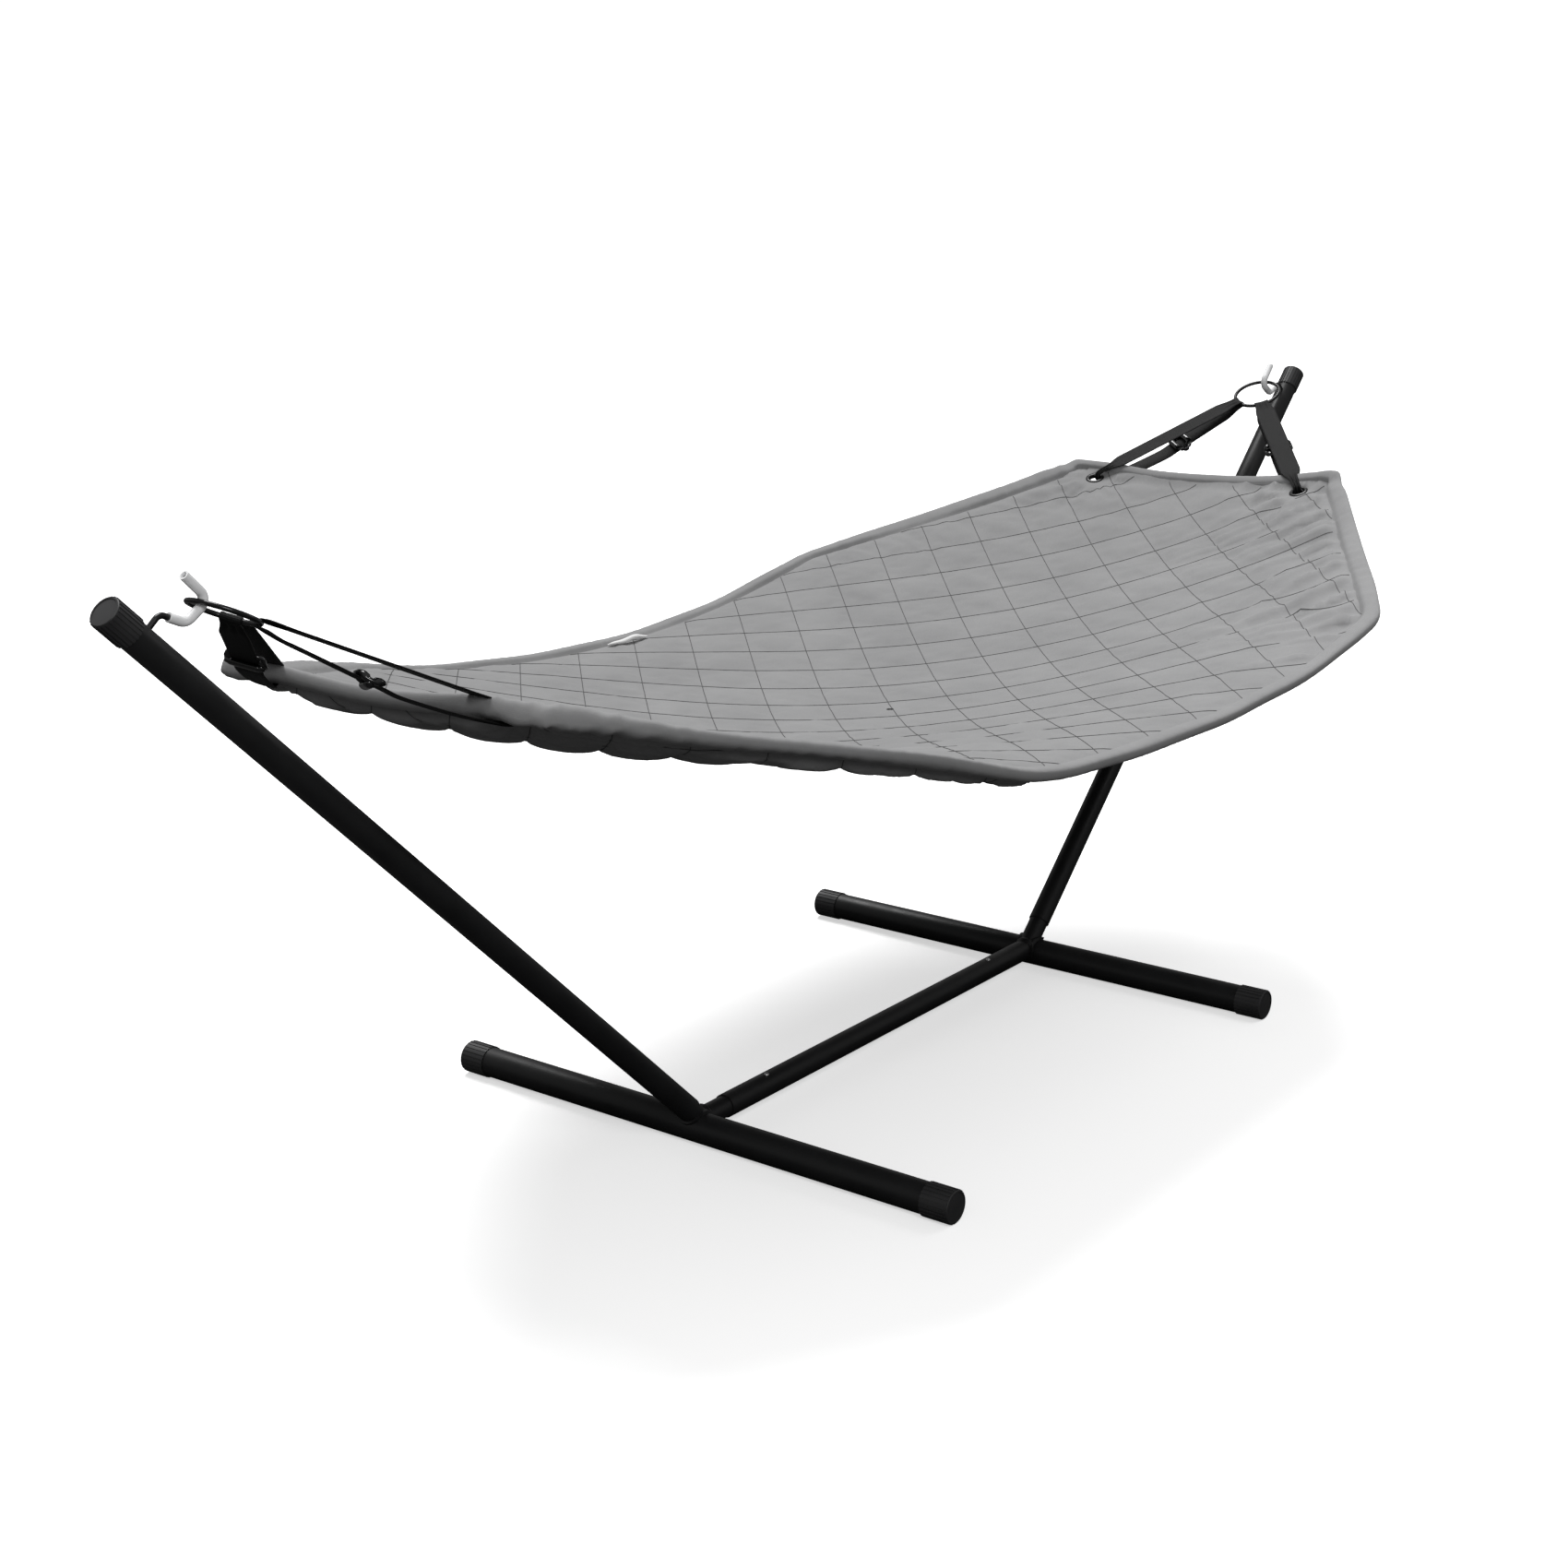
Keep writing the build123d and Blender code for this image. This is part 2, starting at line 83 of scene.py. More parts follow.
def add_camera():
    """The camera, aimed by its azimuth, elevation and roll."""
    azimuth, elevation, roll = (math.radians(a) for a in (CAMERA_AZIMUTH, CAMERA_ELEVATION, CAMERA_ROLL))
    level = math.cos(elevation)
    back = Vector((math.sin(azimuth) * level, -math.cos(azimuth) * level, math.sin(elevation)))
    level_right = (-back).cross(Vector((0, 0, 1))).normalized()
    level_up = level_right.cross(-back)
    right = level_right * math.cos(roll) + level_up * math.sin(roll)
    up = level_up * math.cos(roll) - level_right * math.sin(roll)
    data = bpy.data.cameras.new("camera")
    data.lens = CAMERA_LENS
    data.sensor_width = 36.0
    data.clip_end = 60.0
    camera = bpy.data.objects.new("camera", data)
    camera.matrix_world = Matrix.Translation(CAMERA_AT) @ Matrix((right, up, back)).transposed().to_4x4()
    bpy.context.scene.collection.objects.link(camera)
    bpy.context.scene.camera = camera


def add_area_light(name, place, target, size, watts):
    data = bpy.data.lights.new(name, "AREA")
    data.shape = "RECTANGLE"
    data.size, data.size_y = size
    data.energy = watts
    light = bpy.data.objects.new(name, data)
    light.location = place
    light.visible_camera = False
    light.rotation_euler = (Vector(target) - Vector(place)).to_track_quat("-Z", "Y").to_euler()
    bpy.context.scene.collection.objects.link(light)


def add_sun():
    """A broad overhead light, which gives the soft shadow under the hammock."""
    data = bpy.data.lights.new("sun", "SUN")
    data.energy = SUN_STRENGTH
    data.angle = math.radians(SUN_SPREAD)
    sun = bpy.data.objects.new("sun", data)
    sun.rotation_euler = Vector(SUN_FROM).to_track_quat("Z", "Y").to_euler()
    bpy.context.scene.collection.objects.link(sun)


def studio_floor():
    """A matt floor: pale as the camera sees it, darker in the light that it throws back up."""
    made = Nodes("studio_floor")
    seen = made.add("ShaderNodeLightPath").outputs["Is Camera Ray"]
    tone = made.colour_between(seen, FLOOR_THROWN, FLOOR_SEEN)
    made.link(tone, made.shader.inputs["Base Color"])
    made.shader.inputs["Roughness"].default_value = 1.0
    made.shader.inputs["Specular IOR Level"].default_value = 0.0
    made.shader.inputs["Emission Color"].default_value = (1, 1, 1, 1)
    made.link(made.remap(seen, 0.0, FLOOR_GLOW), made.shader.inputs["Emission Strength"])
    return made.material


def studio_world():
    """White behind the object, and a dimmer even light from all round."""
    world = bpy.data.worlds.new("studio")
    world.use_nodes = True
    tree = world.node_tree
    background = tree.nodes["Background"]
    background.inputs["Color"].default_value = (1, 1, 1, 1)
    seen = tree.nodes.new("ShaderNodeLightPath")
    strength = tree.nodes.new("ShaderNodeMapRange")
    strength.inputs["To Min"].default_value = SKY_LIGHT
    strength.inputs["To Max"].default_value = SKY_SEEN
    tree.links.new(seen.outputs["Is Camera Ray"], strength.inputs["Value"])
    tree.links.new(strength.outputs["Result"], background.inputs["Strength"])
    return world


def add_studio():
    """The floor, the world and the lights."""
    corners = [(x * FLOOR_EDGE, y * FLOOR_EDGE, 0) for x, y in ((-1, -1), (1, -1), (1, 1), (-1, 1))]
    floor_mesh = bpy.data.meshes.new("floor")
    floor_mesh.from_pydata(corners, [], [(0, 1, 2, 3)])
    floor_mesh.materials.append(studio_floor())
    floor = bpy.data.objects.new("floor", floor_mesh)
    bpy.context.scene.collection.objects.link(floor)
    bpy.context.scene.world = studio_world()
    add_sun()
    add_area_light("left_fill", place=(-2.4, -2.2, 2.3), target=(-0.8, -0.6, 0.75), size=(1.0, 1.0), watts=30)
    add_area_light("front_right", place=(0.9, -1.2, 1.6), target=(0.8, -0.9, 0.0), size=(0.8, 0.8), watts=5)
    bpy.context.scene.view_settings.view_transform = "Standard"


# ---- materials
# The Mix node's sockets for colours: the two to mix, and the result
MIX_FIRST, MIX_SECOND, MIX_RESULT = 6, 7, 2
WEAVE_SCALE = 2600.0 / 6.2832


class Nodes:
    """A short way to write a material's node tree."""

    def __init__(self, name):
        self.material = bpy.data.materials.new(name)
        self.material.use_nodes = True
        self.tree = self.material.node_tree
        self.shader = self.tree.nodes["Principled BSDF"]

    def add(self, kind, **values):
        node = self.tree.nodes.new(kind)
        for key, value in values.items():
            if hasattr(node, key):
                setattr(node, key, value)
            else:
                node.inputs[key.replace("_", " ")].default_value = value
        return node

    def link(self, output, target):
        self.tree.links.new(output, target)

    def object_coordinates(self):
        return self.add("ShaderNodeTexCoord").outputs["Object"]

    def noise(self, coordinates, scale, detail=3.0, roughness=0.5):
        node = self.add("ShaderNodeTexNoise", Scale=scale, Detail=detail, Roughness=roughness)
        self.link(coordinates, node.inputs["Vector"])
        return node.outputs["Fac"]

    def bump(self, height, distance, strength, base=None):
        node = self.add("ShaderNodeBump", Strength=strength, Distance=distance)
        self.link(height, node.inputs["Height"])
        if base is not None:
            self.link(base, node.inputs["Normal"])
        return node.outputs["Normal"]

    def remap(self, value, low, high, from_low=0.0, from_high=1.0):
        node = self.add("ShaderNodeMapRange")
        node.inputs["From Min"].default_value = from_low
        node.inputs["From Max"].default_value = from_high
        node.inputs["To Min"].default_value = low
        node.inputs["To Max"].default_value = high
        self.link(value, node.inputs["Value"])
        return node.outputs["Result"]

    def colour_between(self, value, first, second):
        node = self.add("ShaderNodeMix", data_type="RGBA")
        self.link(value, node.inputs["Factor"])
        node.inputs[MIX_FIRST].default_value = (*first, 1)
        node.inputs[MIX_SECOND].default_value = (*second, 1)
        return node.outputs[MIX_RESULT]


def plain_material(name, colour, roughness, specular):
    """One even colour with no grain."""
    made = Nodes(name)
    made.shader.inputs["Base Color"].default_value = (*colour, 1)
    made.shader.inputs["Roughness"].default_value = roughness
    made.shader.inputs["Specular IOR Level"].default_value = specular
    return made.material


def powder_coat():
    """Satin black powder coat: a fine orange peel with faint rubbed patches."""
    made = Nodes("powder_coat")
    place = made.object_coordinates()
    peel = made.noise(place, 900, detail=2)
    cloud = made.noise(place, 14, detail=5, roughness=0.65)
    tone = made.colour_between(cloud, (0.010, 0.010, 0.0104), (0.017, 0.017, 0.0176))
    made.link(tone, made.shader.inputs["Base Color"])
    made.link(made.remap(cloud, 0.34, 0.52, 0.3, 0.7), made.shader.inputs["Roughness"])
    made.link(made.bump(peel, 0.00012, 0.5), made.shader.inputs["Normal"])
    made.shader.inputs["Specular IOR Level"].default_value = 0.3
    return made.material


def moulded_plastic():
    """Black moulded polypropylene with a fine grain."""
    made = Nodes("moulded_plastic")
    place = made.object_coordinates()
    grain = made.noise(place, 1600, detail=2)
    cloud = made.noise(place, 30, detail=4)
    tone = made.colour_between(cloud, (0.020, 0.020, 0.021), (0.032, 0.032, 0.033))
    made.link(tone, made.shader.inputs["Base Color"])
    made.link(made.remap(cloud, 0.48, 0.62, 0.3, 0.7), made.shader.inputs["Roughness"])
    made.link(made.bump(grain, 0.0001, 0.6), made.shader.inputs["Normal"])
    return made.material


def black_steel(name, roughness, specular=0.4):
    """Smooth black enamel on bent wire, buckles and pressed eyelets."""
    made = Nodes(name)
    place = made.object_coordinates()
    cloud = made.noise(place, 60, detail=4)
    tone = made.colour_between(cloud, (0.004, 0.004, 0.0045), (0.009, 0.009, 0.0095))
    made.link(tone, made.shader.inputs["Base Color"])
    made.shader.inputs["Specular IOR Level"].default_value = specular
    made.link(made.remap(cloud, roughness - 0.06, roughness + 0.08, 0.3, 0.7), made.shader.inputs["Roughness"])
    made.link(made.bump(made.noise(place, 700), 0.0001, 0.3), made.shader.inputs["Normal"])
    return made.material


def bright_steel(name, colour, roughness):
    """Zinc-plated or oiled steel with fine scratches."""
    made = Nodes(name)
    place = made.object_coordinates()
    scratches = made.noise(place, 2200, detail=4)
    made.shader.inputs["Base Color"].default_value = (*colour, 1)
    made.shader.inputs["Metallic"].default_value = 1.0
    made.link(made.remap(scratches, roughness - 0.08, roughness + 0.1), made.shader.inputs["Roughness"])
    made.link(made.bump(scratches, 0.00003, 0.4), made.shader.inputs["Normal"])
    return made.material


def milky_vinyl():
    """The milky plastic tube over the hooks."""
    made = Nodes("milky_vinyl")
    place = made.object_coordinates()
    haze = made.noise(place, 45, detail=3)
    tone = made.colour_between(haze, (0.90, 0.91, 0.93), (0.95, 0.955, 0.96))
    made.link(tone, made.shader.inputs["Base Color"])
    made.link(made.remap(haze, 0.26, 0.4), made.shader.inputs["Roughness"])
    made.shader.inputs["Subsurface Weight"].default_value = 0.55
    made.shader.inputs["Subsurface Radius"].default_value = (0.006, 0.006, 0.006)
    made.shader.inputs["Transmission Weight"].default_value = 0.04
    made.link(made.bump(made.noise(place, 260), 0.0001, 0.3), made.shader.inputs["Normal"])
    return made.material


def woven_cover(name, dark, light):
    """Plain woven polyester: crossing threads, slightly uneven in tone."""
    made = Nodes(name)
    place = made.object_coordinates()
    warp = made.add("ShaderNodeTexWave", Scale=WEAVE_SCALE, Distortion=0.6, Detail=1.0)
    warp.bands_direction = "X"
    weft = made.add("ShaderNodeTexWave", Scale=WEAVE_SCALE, Distortion=0.6, Detail=1.0)
    weft.bands_direction = "Y"
    for wave in (warp, weft):
        made.link(place, wave.inputs["Vector"])
    threads = made.add("ShaderNodeMath", operation="MAXIMUM")
    made.link(warp.outputs["Fac"], threads.inputs[0])
    made.link(weft.outputs["Fac"], threads.inputs[1])
    cloud = made.noise(place, 7, detail=6, roughness=0.6)
    slub = made.noise(place, 420, detail=2)
    tone = made.add("ShaderNodeMath", operation="MULTIPLY_ADD")
    made.link(slub, tone.inputs[0])
    tone.inputs[1].default_value = 0.35
    made.link(made.remap(cloud, 0.0, 0.65, 0.25, 0.75), tone.inputs[2])
    made.link(made.colour_between(tone.outputs[0], dark, light), made.shader.inputs["Base Color"])
    made.shader.inputs["Roughness"].default_value = 0.82
    made.shader.inputs["Specular IOR Level"].default_value = 0.25
    made.shader.inputs["Sheen Weight"].default_value = 0.12
    made.shader.inputs["Sheen Roughness"].default_value = 0.5
    fine = made.bump(threads.outputs[0], 0.0002, 0.35)
    made.link(made.bump(made.noise(place, 55, detail=4), 0.0012, 0.35, base=fine), made.shader.inputs["Normal"])
    return made.material


def woven_webbing():
    """Black polypropylene webbing: cross ribs broken up by the warp, read from the strap's own UV map."""
    made = Nodes("woven_webbing")
    uv = made.add("ShaderNodeUVMap").outputs["UV"]
    ribs = made.add("ShaderNodeTexWave", Scale=150.0, Distortion=0.3)
    ribs.bands_direction = "X"
    warp = made.add("ShaderNodeTexWave", Scale=210.0, Distortion=0.3)
    warp.bands_direction = "Y"
    for wave in (ribs, warp):
        made.link(uv, wave.inputs["Vector"])
    both = made.add("ShaderNodeMath", operation="MULTIPLY")
    made.link(ribs.outputs["Fac"], both.inputs[0])
    made.link(warp.outputs["Fac"], both.inputs[1])
    tone = made.colour_between(both.outputs[0], (0.0025, 0.0025, 0.0027), (0.008, 0.008, 0.0083))
    made.link(tone, made.shader.inputs["Base Color"])
    made.shader.inputs["Roughness"].default_value = 0.6
    made.shader.inputs["Specular IOR Level"].default_value = 0.2
    made.link(made.bump(both.outputs[0], 0.0006, 0.8), made.shader.inputs["Normal"])
    return made.material


def dress_frame():
    """Gives every CAD node that stays its own finish."""
    coat = powder_coat()
    plastic = moulded_plastic()
    ring_steel = black_steel("ring_enamel", 0.24)
    rod_steel = black_steel("hook_enamel", 0.32)
    zinc = bright_steel("zinc_plate", (0.78, 0.78, 0.78), 0.25)
    spring = bright_steel("spring_steel", (0.42, 0.42, 0.44), 0.35)
    vinyl = milky_vinyl()
    finishes = {
        "foot_tube": coat,
        "base": coat,
        "post_left": coat,
        "post_right": coat,
        "post_stub": coat,
        "weld": coat,
        "foot_cap": plastic,
        "post_cap": plastic,
        "hook_left": rod_steel,
        "hook_right": rod_steel,
        "hook_sleeve": vinyl,
        "ring": ring_steel,
        "button_left": zinc,
        "button_right": zinc,
        "button_spring": spring,
    }
    for name, node in nodes.items():
        for start, finish in finishes.items():
            if name.startswith(start):
                node.data.materials.clear()
                node.data.materials.append(finish)


# ---- mesh helpers
def mesh_object(name, points, faces, material):
    """A smooth-shaded mesh object with one material."""
    mesh = bpy.data.meshes.new(name)
    mesh.from_pydata([tuple(p) for p in points], [], faces)
    mesh.validate()
    mesh.shade_smooth()
    mesh.materials.append(material)
    made = bpy.data.objects.new(name, mesh)
    bpy.context.scene.collection.objects.link(made)
    return made


def fix_normals(piece):
    """Turns every face of the piece outwards."""
    made = bmesh.new()
    made.from_mesh(piece.data)
    bmesh.ops.recalc_face_normals(made, faces=made.faces)
    made.to_mesh(piece.data)
    made.free()


def ring_faces(rows, columns, closed_rows=True):
    """Quads over closed rings of points numbered row by row; the last row joins the first where asked."""
    faces = []
    for i in range(rows if closed_rows else rows - 1):
        for j in range(columns):
            i2, j2 = (i + 1) % rows, (j + 1) % columns
            faces.append((i * columns + j, i * columns + j2, i2 * columns + j2, i2 * columns + j))
    return faces


def smooth_step(value, low, high):
    """0 below low, 1 above high and a smooth rise between them."""
    t = np.clip((value - low) / (high - low), 0, 1)
    return t * t * (3 - 2 * t)


def ripple(t, wavelength, seed, terms=5):
    """A smooth uneven wave along t, from about -1 to 1."""
    numbers = np.random.default_rng(SEED + seed)
    total = np.zeros_like(np.asarray(t, float))
    for _ in range(terms):
        length = wavelength * numbers.uniform(0.6, 1.7)
        total += numbers.uniform(0.5, 1.0) * np.sin(2 * np.pi * t / length + numbers.uniform(0, 2 * np.pi))
    return total / terms * 1.6


def tube_along(points, radius, sides, closed=False):
    """Points and faces of a round tube that follows a line of points."""
    points = [Vector(p) for p in points]
    count = len(points)
    rings = []
    # No tube here runs along this direction, so it always gives the rings a way up
    reference = Vector((0.13, 0.2, 0.97)).normalized()
    for i, point in enumerate(points):
        before = points[(i - 1) % count] if closed or i else point
        after = points[(i + 1) % count] if closed or i < count - 1 else point
        tangent = (after - before).normalized()
        first = tangent.cross(reference).normalized()
        second = tangent.cross(first)
        for k in range(sides):
            angle = 2 * math.pi * k / sides
            rings.append(point + (first * math.cos(angle) + second * math.sin(angle)) * radius)
    faces = ring_faces(count, sides, closed_rows=closed)
    if not closed:
        faces.append(tuple(range(sides)))
        faces.append(tuple((count - 1) * sides + k for k in reversed(range(sides))))
    return rings, faces


# ---- the hammock's surface
END_RISE = 0.244
SIDE_RISE = 0.120
SIDE_FLATTENING = 0.070
SIDE_TILT = 0.016
CORNER_X = 0.620
END_HALF_WIDTH = 0.300
END_CORNER_R = 0.030
SIDE_CORNER_R = 0.120
# Each family of diagonal stitch lines: its angle to the width, its spacing and where one line passes
STITCH_ANGLE_A, STITCH_PITCH_A, STITCH_START_A = math.radians(46.7), 0.1049, 0.0210
STITCH_ANGLE_B, STITCH_PITCH_B, STITCH_START_B = math.radians(47.8), 0.1072, 0.0404
# How far to each side of the middle the stitch lines are drawn before they are cut to the outline
STITCH_REACH = 1.35
HEM_WIDTH = 0.030
END_HEM_WIDTH = 0.015
OUTLINE_STEP = 0.0075
COVER_THICKNESS = 0.0015
# The end hems' extra rise past the grommets, and how much of it is lost towards the end's corners
CURL_START = 1.126
RIGHT_CURL, RIGHT_CURL_LOSS = 0.015, 0.010
LEFT_CURL, LEFT_CURL_LOSS = 0.012, 0.014
FRONT_HANG = 0.011

_, wadding_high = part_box("hammock_wadding")
HALF_LENGTH = wadding_high.x
HALF_WIDTH = wadding_high.y
top_cover_low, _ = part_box("hammock_top_cover")
under_cover_low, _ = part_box("hammock_under_cover")
HALF_THICKNESS = (top_cover_low.z - under_cover_low.z + COVER_THICKNESS) / 2
EYELET = box_centre("drain_eyelet")


def quilt_rise(x, y):
    """How far the quilt's middle surface stands above its centre."""
    u, v = x / HALF_LENGTH, y / HALF_WIDTH
    return END_RISE * u**2 + SIDE_RISE * v**2 - SIDE_FLATTENING * v**4 - SIDE_TILT * v


MIDDLE_HEIGHT = EYELET.z - quilt_rise(EYELET.x, EYELET.y)


def quilt_normal(x, y):
    """The three parts of the surface's unit normal."""
    v = y / HALF_WIDTH
    slope_x = 2 * END_RISE * x / HALF_LENGTH**2
    slope_y = (2 * SIDE_RISE * v - 4 * SIDE_FLATTENING * v**3 - SIDE_TILT) / HALF_WIDTH
    size = np.sqrt(1 + slope_x**2 + slope_y**2)
    return -slope_x / size, -slope_y / size, 1 / size


def quilt_points(x, y, lift):
    """Points over the quilt's middle surface, lifted along its normal."""
    nx, ny, nz = quilt_normal(x, y)
    height = MIDDLE_HEIGHT + quilt_rise(x, y) + edge_shape(x, y)
    return np.stack([x + nx * lift, y + ny * lift, height + nz * lift], axis=-1)


def edge_shape(x, y):
    """The end hems curl up beyond the grommets, and the front hem hangs a little beside its corners."""
    past_grommets = smooth_step(np.abs(x), CURL_START, HALF_LENGTH)
    to_corner = smooth_step(np.abs(y), 0.18, END_HALF_WIDTH)
    right_curl = RIGHT_CURL - RIGHT_CURL_LOSS * to_corner * (y > 0)
    left_curl = LEFT_CURL - LEFT_CURL_LOSS * to_corner
    off_middle = smooth_step(np.abs(x), 0.12, 0.45) * (1 - smooth_step(np.abs(x), 0.50, 0.75))
    hang = FRONT_HANG * off_middle * smooth_step(-y, 0.40, HALF_WIDTH)
    return past_grommets * np.where(x > 0, right_curl, left_curl) - hang


def cloth_length(x):
    """Distance along the quilt from its middle to x."""
    bend = 2 * END_RISE / HALF_LENGTH**2
    return x / 2 * np.sqrt(1 + (bend * x) ** 2) + np.arcsinh(bend * x) / (2 * bend)


def stitch_coordinates(x, y):
    """Diagonal coordinates on the cloth, which are whole numbers on the two families of stitch lines."""
    s = cloth_length(x)
    a = (s * math.cos(STITCH_ANGLE_A) - y * math.sin(STITCH_ANGLE_A) - STITCH_START_A) / STITCH_PITCH_A
    b = (s * math.cos(STITCH_ANGLE_B) + y * math.sin(STITCH_ANGLE_B) - STITCH_START_B) / STITCH_PITCH_B
    return a, b


def stitch_places(a, b):
    """The point (x, y) that has these diagonal coordinates."""
    first = a * STITCH_PITCH_A + STITCH_START_A
    second = b * STITCH_PITCH_B + STITCH_START_B
    scale = math.sin(STITCH_ANGLE_A + STITCH_ANGLE_B)
    along = (first * math.sin(STITCH_ANGLE_B) + second * math.sin(STITCH_ANGLE_A)) / scale
    y = (second * math.cos(STITCH_ANGLE_A) - first * math.cos(STITCH_ANGLE_B)) / scale
    samples = np.linspace(-1.6, 1.6, 3201)
    return np.interp(along, cloth_length(samples), samples), y


OUTLINE = [
    (HALF_LENGTH, END_HALF_WIDTH),
    (CORNER_X, HALF_WIDTH),
    (-CORNER_X, HALF_WIDTH),
    (-HALF_LENGTH, END_HALF_WIDTH),
    (-HALF_LENGTH, -END_HALF_WIDTH),
    (-CORNER_X, -HALF_WIDTH),
    (CORNER_X, -HALF_WIDTH),
    (HALF_LENGTH, -END_HALF_WIDTH),
]


def outline_edges():
    """Each edge of the outline: start, unit direction, inward normal and whether it is an end edge."""
    for i, start in enumerate(OUTLINE):
        stop = OUTLINE[(i + 1) % len(OUTLINE)]
        direction = Vector((stop[0] - start[0], stop[1] - start[1])).normalized()
        inward = Vector((-direction.y, direction.x))
        yield Vector(start), direction, inward, abs(direction.x) < 0.1


def edge_distance(x, y):
    """Distance in from the nearest edge; the narrow end hems count as if they were as wide as the others."""
    nearest = np.full(np.shape(x), np.inf)
    for start, _, inward, is_end in outline_edges():
        away = (x - start.x) * inward.x + (y - start.y) * inward.y
        nearest = np.minimum(nearest, away + (HEM_WIDTH - END_HEM_WIDTH if is_end else 0.0))
    return nearest


def hem_width(is_end):
    return END_HEM_WIDTH if is_end else HEM_WIDTH


def corner_radius(corner):
    return END_CORNER_R if abs(corner.x) > CORNER_X + 0.01 else SIDE_CORNER_R


def rounded_outline():
    """Points, inward normals and hem widths round the outline, with arcs at its corners."""
    places, normals, widths = [], [], []
    edges = list(outline_edges())
    for i, (start, direction, inward, is_end) in enumerate(edges):
        _, before_direction, before_inward, before_end = edges[i - 1]
        turn = before_direction.angle(direction)
        radius = corner_radius(start)
        setback = radius * math.tan(turn / 2)
        arc_start = start - before_direction * setback
        centre = arc_start + before_inward * radius
        arc_steps = max(4, round(radius * turn / OUTLINE_STEP))
        for k in range(arc_steps):
            share = k / arc_steps
            normal = before_inward.copy()
            normal.rotate(Matrix.Rotation(turn * share, 2))
            places.append(centre - normal * radius)
            normals.append(normal)
            widths.append(hem_width(before_end) * (1 - share) + hem_width(is_end) * share)
        next_corner, next_direction, _, _ = edges[(i + 1) % len(edges)]
        next_setback = corner_radius(next_corner) * math.tan(direction.angle(next_direction) / 2)
        run_start = start + direction * setback
        run_length = (next_corner - run_start).length - next_setback
        run_steps = round(run_length / OUTLINE_STEP)
        for k in range(run_steps):
            places.append(run_start + direction * (run_length * k / run_steps))
            normals.append(inward.copy())
            widths.append(hem_width(is_end))
    return places, normals, widths


# ---- quilt
STITCH_LINES = int(STITCH_REACH / STITCH_PITCH_A)
CELL_STEPS = 14
PRESSED = 0.0026
GROMMET_HOLE_R = 0.0135
SEAM_OVERLAP = 0.005
# How far the covers stand off the middle: in a full cell, on a stitch line, and the underside's slack
PUFF_TOP = 0.0052
PUFF_UNDER = 0.0085
VALLEY = 0.0016
UNDER_VALLEY = 0.0055
UNDER_SAG = 0.0150
UNDER_SAG_REACH = 0.13
UNDER_LEAST = 0.0004
THREAD_R = 0.0006
THREAD_STANDS_OUT = THREAD_R * 0.7
SIM_FRAMES = 18
SIM_STRETCH = 0.035
SIM_PRESSURE = 3.0
SIM_CAP = 0.014
SIM_DRIFT = 0.004
# The folds along an edge: their height, how far in they run and their wavelength
SLANT_FOLDS = (0.0100, 0.110, 0.096)
SIDE_FOLDS = (0.0016, 0.050, 0.068)
FRONT_RIGHT_FOLDS = (0.0290, 0.170, 0.100)


def quilt_plan():
    """The flat quilt as a bmesh whose rows follow the stitch lines, cut to the outline inside the hem."""
    reach = STITCH_LINES * CELL_STEPS
    steps = np.arange(-reach, reach + 1) / CELL_STEPS
    a, b = np.meshgrid(steps, steps, indexing="ij")
    x, y = stitch_places(a, b)
    inside = edge_distance(x, y) > HEM_WIDTH - SEAM_OVERLAP - 0.012
    keep_cell = inside[:-1, :-1] & inside[1:, :-1] & inside[1:, 1:] & inside[:-1, 1:]
    number = np.full(x.shape, -1)
    used = np.zeros(x.shape, bool)
    for di in (0, 1):
        for dj in (0, 1):
            used[di:used.shape[0] - 1 + di, dj:used.shape[1] - 1 + dj] |= keep_cell
    number[used] = np.arange(used.sum())
    points = np.stack([x[used], y[used], np.zeros(used.sum())], axis=-1)
    rows, columns = np.nonzero(keep_cell)
    quad_corners = ((0, 0), (1, 0), (1, 1), (0, 1))
    quads = np.stack([number[rows + di, columns + dj] for di, dj in quad_corners], -1)
    mesh = bpy.data.meshes.new("quilt_plan")
    mesh.from_pydata(points.tolist(), [], quads.tolist())
    plan = bmesh.new()
    plan.from_mesh(mesh)
    bpy.data.meshes.remove(mesh)
    for start, _, inward, is_end in outline_edges():
        inset = hem_width(is_end) - SEAM_OVERLAP
        everything = list(plan.verts) + list(plan.edges) + list(plan.faces)
        cut_at = start + inward * inset
        bmesh.ops.bisect_plane(
            plan, geom=everything, plane_co=(*cut_at, 0), plane_no=(*inward, 0), clear_inner=True, dist=1e-5)
    bmesh.ops.remove_doubles(plan, verts=plan.verts, dist=0.0006)
    return plan


def open_grommets(plan):
    """Cuts a round hole in the plan under each grommet's flange."""
    for end, side in CORNERS:
        centre = box_centre(f"grommet_{corner_name(end, side)}").to_2d()
        covered = [f for f in plan.faces if (f.calc_center_median().to_2d() - centre).length < GROMMET_HOLE_R]
        rim = {v for f in covered for v in f.verts if any(other not in covered for other in v.link_faces)}
        bmesh.ops.delete(plan, geom=covered, context="FACES")
        for vertex in rim:
            away = vertex.co.to_2d() - centre
            vertex.co = (*(centre + away.normalized() * GROMMET_HOLE_R), 0)
    plan.verts.index_update()


